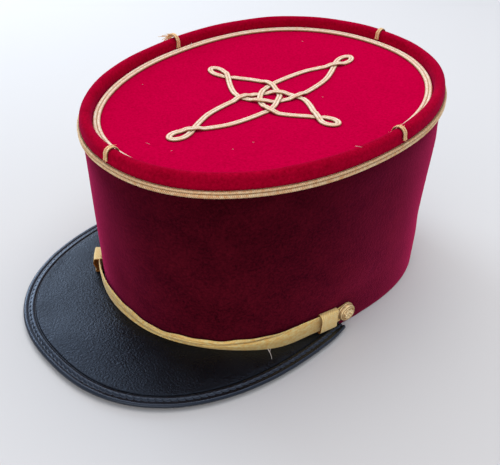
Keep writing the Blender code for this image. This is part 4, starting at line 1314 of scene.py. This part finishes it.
def chin_strap():
    """Rows run along the strap. Columns run up its inner face and down its outer face.

    Each half of the creased strap rolls out from the crease, and the crease is tucked in by a narrow
    bell curve. Where the strap is narrow it is folded, and there it crinkles more.
    """
    end = STRAP_WIDTH / 2
    turn = np.linspace(0.03, 0.5, 14)[:-1] * math.pi
    tip = end * np.cos(turn)
    middle = np.linspace(1 - BUTTON_SHARE, BUTTON_SHARE, 900)
    shares = np.concatenate([1 - BUTTON_SHARE - tip / PERIMETER, middle,
                             BUTTON_SHARE + tip[::-1] / PERIMETER])
    size = np.concatenate([np.sin(turn), np.ones(len(middle)), np.sin(turn)[::-1]])
    share = shares[:, None]
    fold = np.clip((1 - strap_lie(share, 1)) / 0.46, 0.0, 1.0)
    along = (share - 0.5) * PERIMETER
    across = np.linspace(-1.0, 1.0, 29)[None, :]
    edge_wave = (0.35 * np.sin(along * 190 + 0.6) + 0.3 * np.sin(along * 411)) * MM
    edge_wave = edge_wave * np.clip(across, 0, 1) * fold
    height = strap_height(share) + across * strap_half(share) * size[:, None] + edge_wave
    crease = strap_lie(share, 5) + 0.04 * np.sin(along * 110)
    lower = np.clip((crease - across) / (1 + crease), 0.0, 1.0)
    upper = np.clip((across - crease) / (1 - crease), 0.0, 1.0)
    away = STRAP_FLARE * (strap_lie(share, 2) * rolled(lower, 0.75, 0.30)
                          + strap_lie(share, 3) * rolled(upper, 0.35, 0.65))
    deep = smooth(3.0 * fold) * smooth((0.85 - crease) / 0.3)
    tucked = STRAP_TUCK * deep * np.exp(-((across - crease) / 0.16) ** 2)
    crinkle = (np.sin(along * 95 + 5 * across) * np.sin(9.5 * across + along * 21)
               + 0.5 * np.sin(15 * across + along * 47 + 1.0))
    crinkle = crinkle * STRAP_CRINKLE * (0.35 + 0.65 * smooth(3 * fold)) * (1 - across ** 6)
    seat = strap_out(share) + away + crinkle
    twill = weave(along, across)
    rounded = STRAP_THICK * 0.5 * (1 - np.sqrt(np.clip(1 - np.abs(across) ** 12, 0.0, 1.0)))
    inner = skin(share, height, seat + rounded)
    outer = skin(share, height, seat + STRAP_THICK - rounded + WEAVE_RELIEF * twill - tucked)[:, ::-1]
    # Painted shade: darker in the twill's low places and along the tucked crease; the inner face, against
    # the crown, is painted darker all over.
    groove = np.clip(0.5 - 0.5 * twill, 0.0, 1.0) * 0.35
    groove = np.clip(groove + 0.9 * deep * np.exp(-((across - crease) / 0.14) ** 2), 0.0, 1.0)
    groove = np.concatenate([np.full(groove.shape, 0.6), groove[:, ::-1]], axis=1)
    grid = tube_grid(np.concatenate([inner, outer], axis=1), groove=groove,
                     size=(float(along[-1, 0] - along[0, 0]), 2 * STRAP_WIDTH))
    piece("gold_strap", [grid], [LACE], ["chin_strap"])


chin_strap()

# %% [markdown]
# ## Keepers and buttons
# A keeper is a band of the same lace round the strap, with a brown back that shows in its open end. The
# right one is slid forward and stands off the strap, the left one lies by its button and gapes a little.
# Each button is a gilt dome with a plain embossed rosette and a beaded edge, over the strap's round end.

# %% Keepers
KEEPER_SLACK = {"left": 0.5 * MM, "right": 2.3 * MM}
KEEPER_GAPE = {"left": 1.0 * MM, "right": 0.0}
KEEPER_FROM_BUTTON = {"left": 5.6 * MM, "right": 74.0 * MM}
KEEPER_HALF_HEIGHT = {"left": 6.0 * MM, "right": 4.2 * MM}
KEEPER_COLUMNS = 26


def soft_rectangle(half_wide, half_high, corner, count=10):
    """A rectangle with round corners, as offsets (wide, high) evenly spaced round it."""
    turn = np.linspace(0.0, 0.5 * math.pi, count)
    quarters = []
    for quarter in range(4):
        angle = turn + quarter * 0.5 * math.pi
        middle = (0.25 + 0.5 * quarter) * math.pi
        wide = np.sign(math.cos(middle)) * (half_wide - corner) + corner * np.cos(angle)
        high = np.sign(math.sin(middle)) * (half_high - corner) + corner * np.sin(angle)
        quarters.append(np.stack([wide, high], axis=-1))
    loop = np.concatenate(quarters)
    return evenly(np.concatenate([loop, loop[:1]]), 65)[:-1]


def keeper(side):
    """Rows run round the band, columns along its outside, over the lip and back inside."""
    slack = KEEPER_SLACK[side]
    first = BUTTON_SHARE - (KEEPER_FROM_BUTTON[side] + KEEPER_LENGTH) / PERIMETER
    last = BUTTON_SHARE - KEEPER_FROM_BUTTON[side] / PERIMETER
    if side == "right":
        first, last = 1 - first, 1 - last
    half_deep = (STRAP_THICK + 2 * GAP + slack) / 2
    half_high = KEEPER_HALF_HEIGHT[side]
    inner = soft_rectangle(half_deep, half_high, GAP)
    outer = soft_rectangle(half_deep + KEEPER_WALL, half_high + KEEPER_WALL, GAP + KEEPER_WALL)
    place = np.linspace(0.0, 1.0, KEEPER_COLUMNS)
    lip = np.linspace(0.0, math.pi, 7)[1:-1]
    middle = (inner + outer) / 2
    half = (outer - inner) / 2
    columns = [(part, outer) for part in place]
    columns += [(1.0, middle + half * math.cos(angle)) for angle in lip]
    columns += [(part, inner) for part in place[::-1][::3]]
    columns += [(0.0, middle - half * math.cos(angle)) for angle in lip]
    pinch = 0.28 * slack
    points = []
    for part, loop in columns:
        share = first + (last - first) * part
        high = loop[:, 1] / half_high
        bowed = pinch * (1 - part) ** 2 * np.sin(2.6 * high + 0.4) * (1 - high ** 4) * (loop[:, 0] > 0)
        gape = KEEPER_GAPE[side] * (1 - part) ** 3 * (loop[:, 0] > 0) * (1 - high ** 6)
        out = GAP + KEEPER_WALL + half_deep + loop[:, 0] + bowed + gape
        middle_z = strap_foot(share) + KEEPER_WALL + half_high
        points.append(skin(share, middle_z + loop[:, 1], out))
    points = np.stack(points, axis=1)
    inside = np.arange(len(columns)) >= KEEPER_COLUMNS
    around = np.linspace(0.0, 1.0, len(points))[:, None]
    along = np.linspace(0.0, 1.0, points.shape[1])[None, :]
    # Painted shade: a slanting pattern of darker dips in the lace's weave.
    groove = 0.25 - 0.25 * np.sin(2 * math.pi * (around * 48 + along * 14))
    grid = ring_grid(points, under=inside, groove=groove, size=(4 * half_high, 2.4 * KEEPER_LENGTH))
    piece("lace_keeper_" + side, [grid], [KEEPER_LACE, LACE_BACK], ["strap_keeper_" + side])


keeper("right")
keeper("left")

# %% Buttons
BUTTON_SPOKES = 168
BUTTON_FACE = 0.985
BUTTON_RELIEF = 0.55 * MM


def rosette(radius, turn):
    """Relief of a plain rosette from 0 to 1: a boss, eight petals with leaves between, a ring, beads."""
    boss = smooth((0.15 - radius) / 0.05)
    petal = np.abs(np.cos(4 * turn)) ** 0.8
    petals = smooth((petal - 0.25) / 0.4) * smooth((radius - 0.17) / 0.06)
    petals *= smooth((0.36 + 0.22 * petal - radius) / 0.07)
    leaves = np.abs(np.sin(4 * turn)) ** 3 * smooth((radius - 0.34) / 0.06)
    leaves = leaves * smooth((0.66 - radius) / 0.07)
    ring = np.exp(-((radius - 0.73) / 0.025) ** 2)
    beads = np.exp(-((radius - 0.88) / 0.055) ** 2) * (0.35 + 0.65 * np.abs(np.cos(18 * turn)))
    vein = 0.35 * np.exp(-(np.sin(4 * turn) / 0.12) ** 2) * petals
    return np.clip(boss + petals - vein + 0.8 * leaves + 0.9 * ring + beads, 0.0, 1.0)


def button(side):
    """A dome of rings: its top with the rosette, a rolled edge, and a flat back."""
    share = BUTTON_SHARE if side == "left" else 1 - BUTTON_SHARE
    height = strap_height(share) + BUTTON_ABOVE_STRAP
    foot = Vector(skin(share, height, 0.0))
    away = Vector(skin(share, height, 1.0)) - foot
    frame_turn = np.array(away.to_track_quat("Z", "Y").to_matrix())
    seat = STRAP_SEAT + STRAP_THICK + GAP
    turn = np.linspace(0.0, 2 * math.pi, BUTTON_SPOKES, endpoint=False)[None, :]
    radius = np.linspace(0.01, BUTTON_FACE, 66)[:, None]
    relief = rosette(radius, turn)
    up = seat + BUTTON_EDGE + BUTTON_DOME * np.sqrt(1 - radius ** 2) + BUTTON_RELIEF * (relief - 0.5)
    edge_turn = np.linspace(0.1, math.pi, 8)[:, None]
    edge_in = 1 - 0.06 * (1 - np.sin(edge_turn))
    edge_up = seat + BUTTON_EDGE * (0.5 + 0.5 * np.cos(edge_turn))
    back_in = np.array([[0.3], [0.02]])
    rings = np.concatenate([radius * BUTTON_FACE, edge_in, back_in]) * BUTTON_RADIUS
    below = np.concatenate([edge_up, np.full(back_in.shape, seat)]) + 0 * turn
    local = np.stack([rings * np.cos(turn), rings * np.sin(turn), np.concatenate([up, below])], axis=-1)
    # Painted shade: the relief's hollows are marked darker, and the rolled edge and the back a little.
    groove = np.concatenate([0.75 * (1 - relief), np.full(below.shape, 0.3)])
    grid = tube_grid(local @ frame_turn.T + np.array(foot), groove=groove)
    piece("gilt_button_" + side, [grid], [GILT], ["side_button_" + side])


button("right")
button("left")
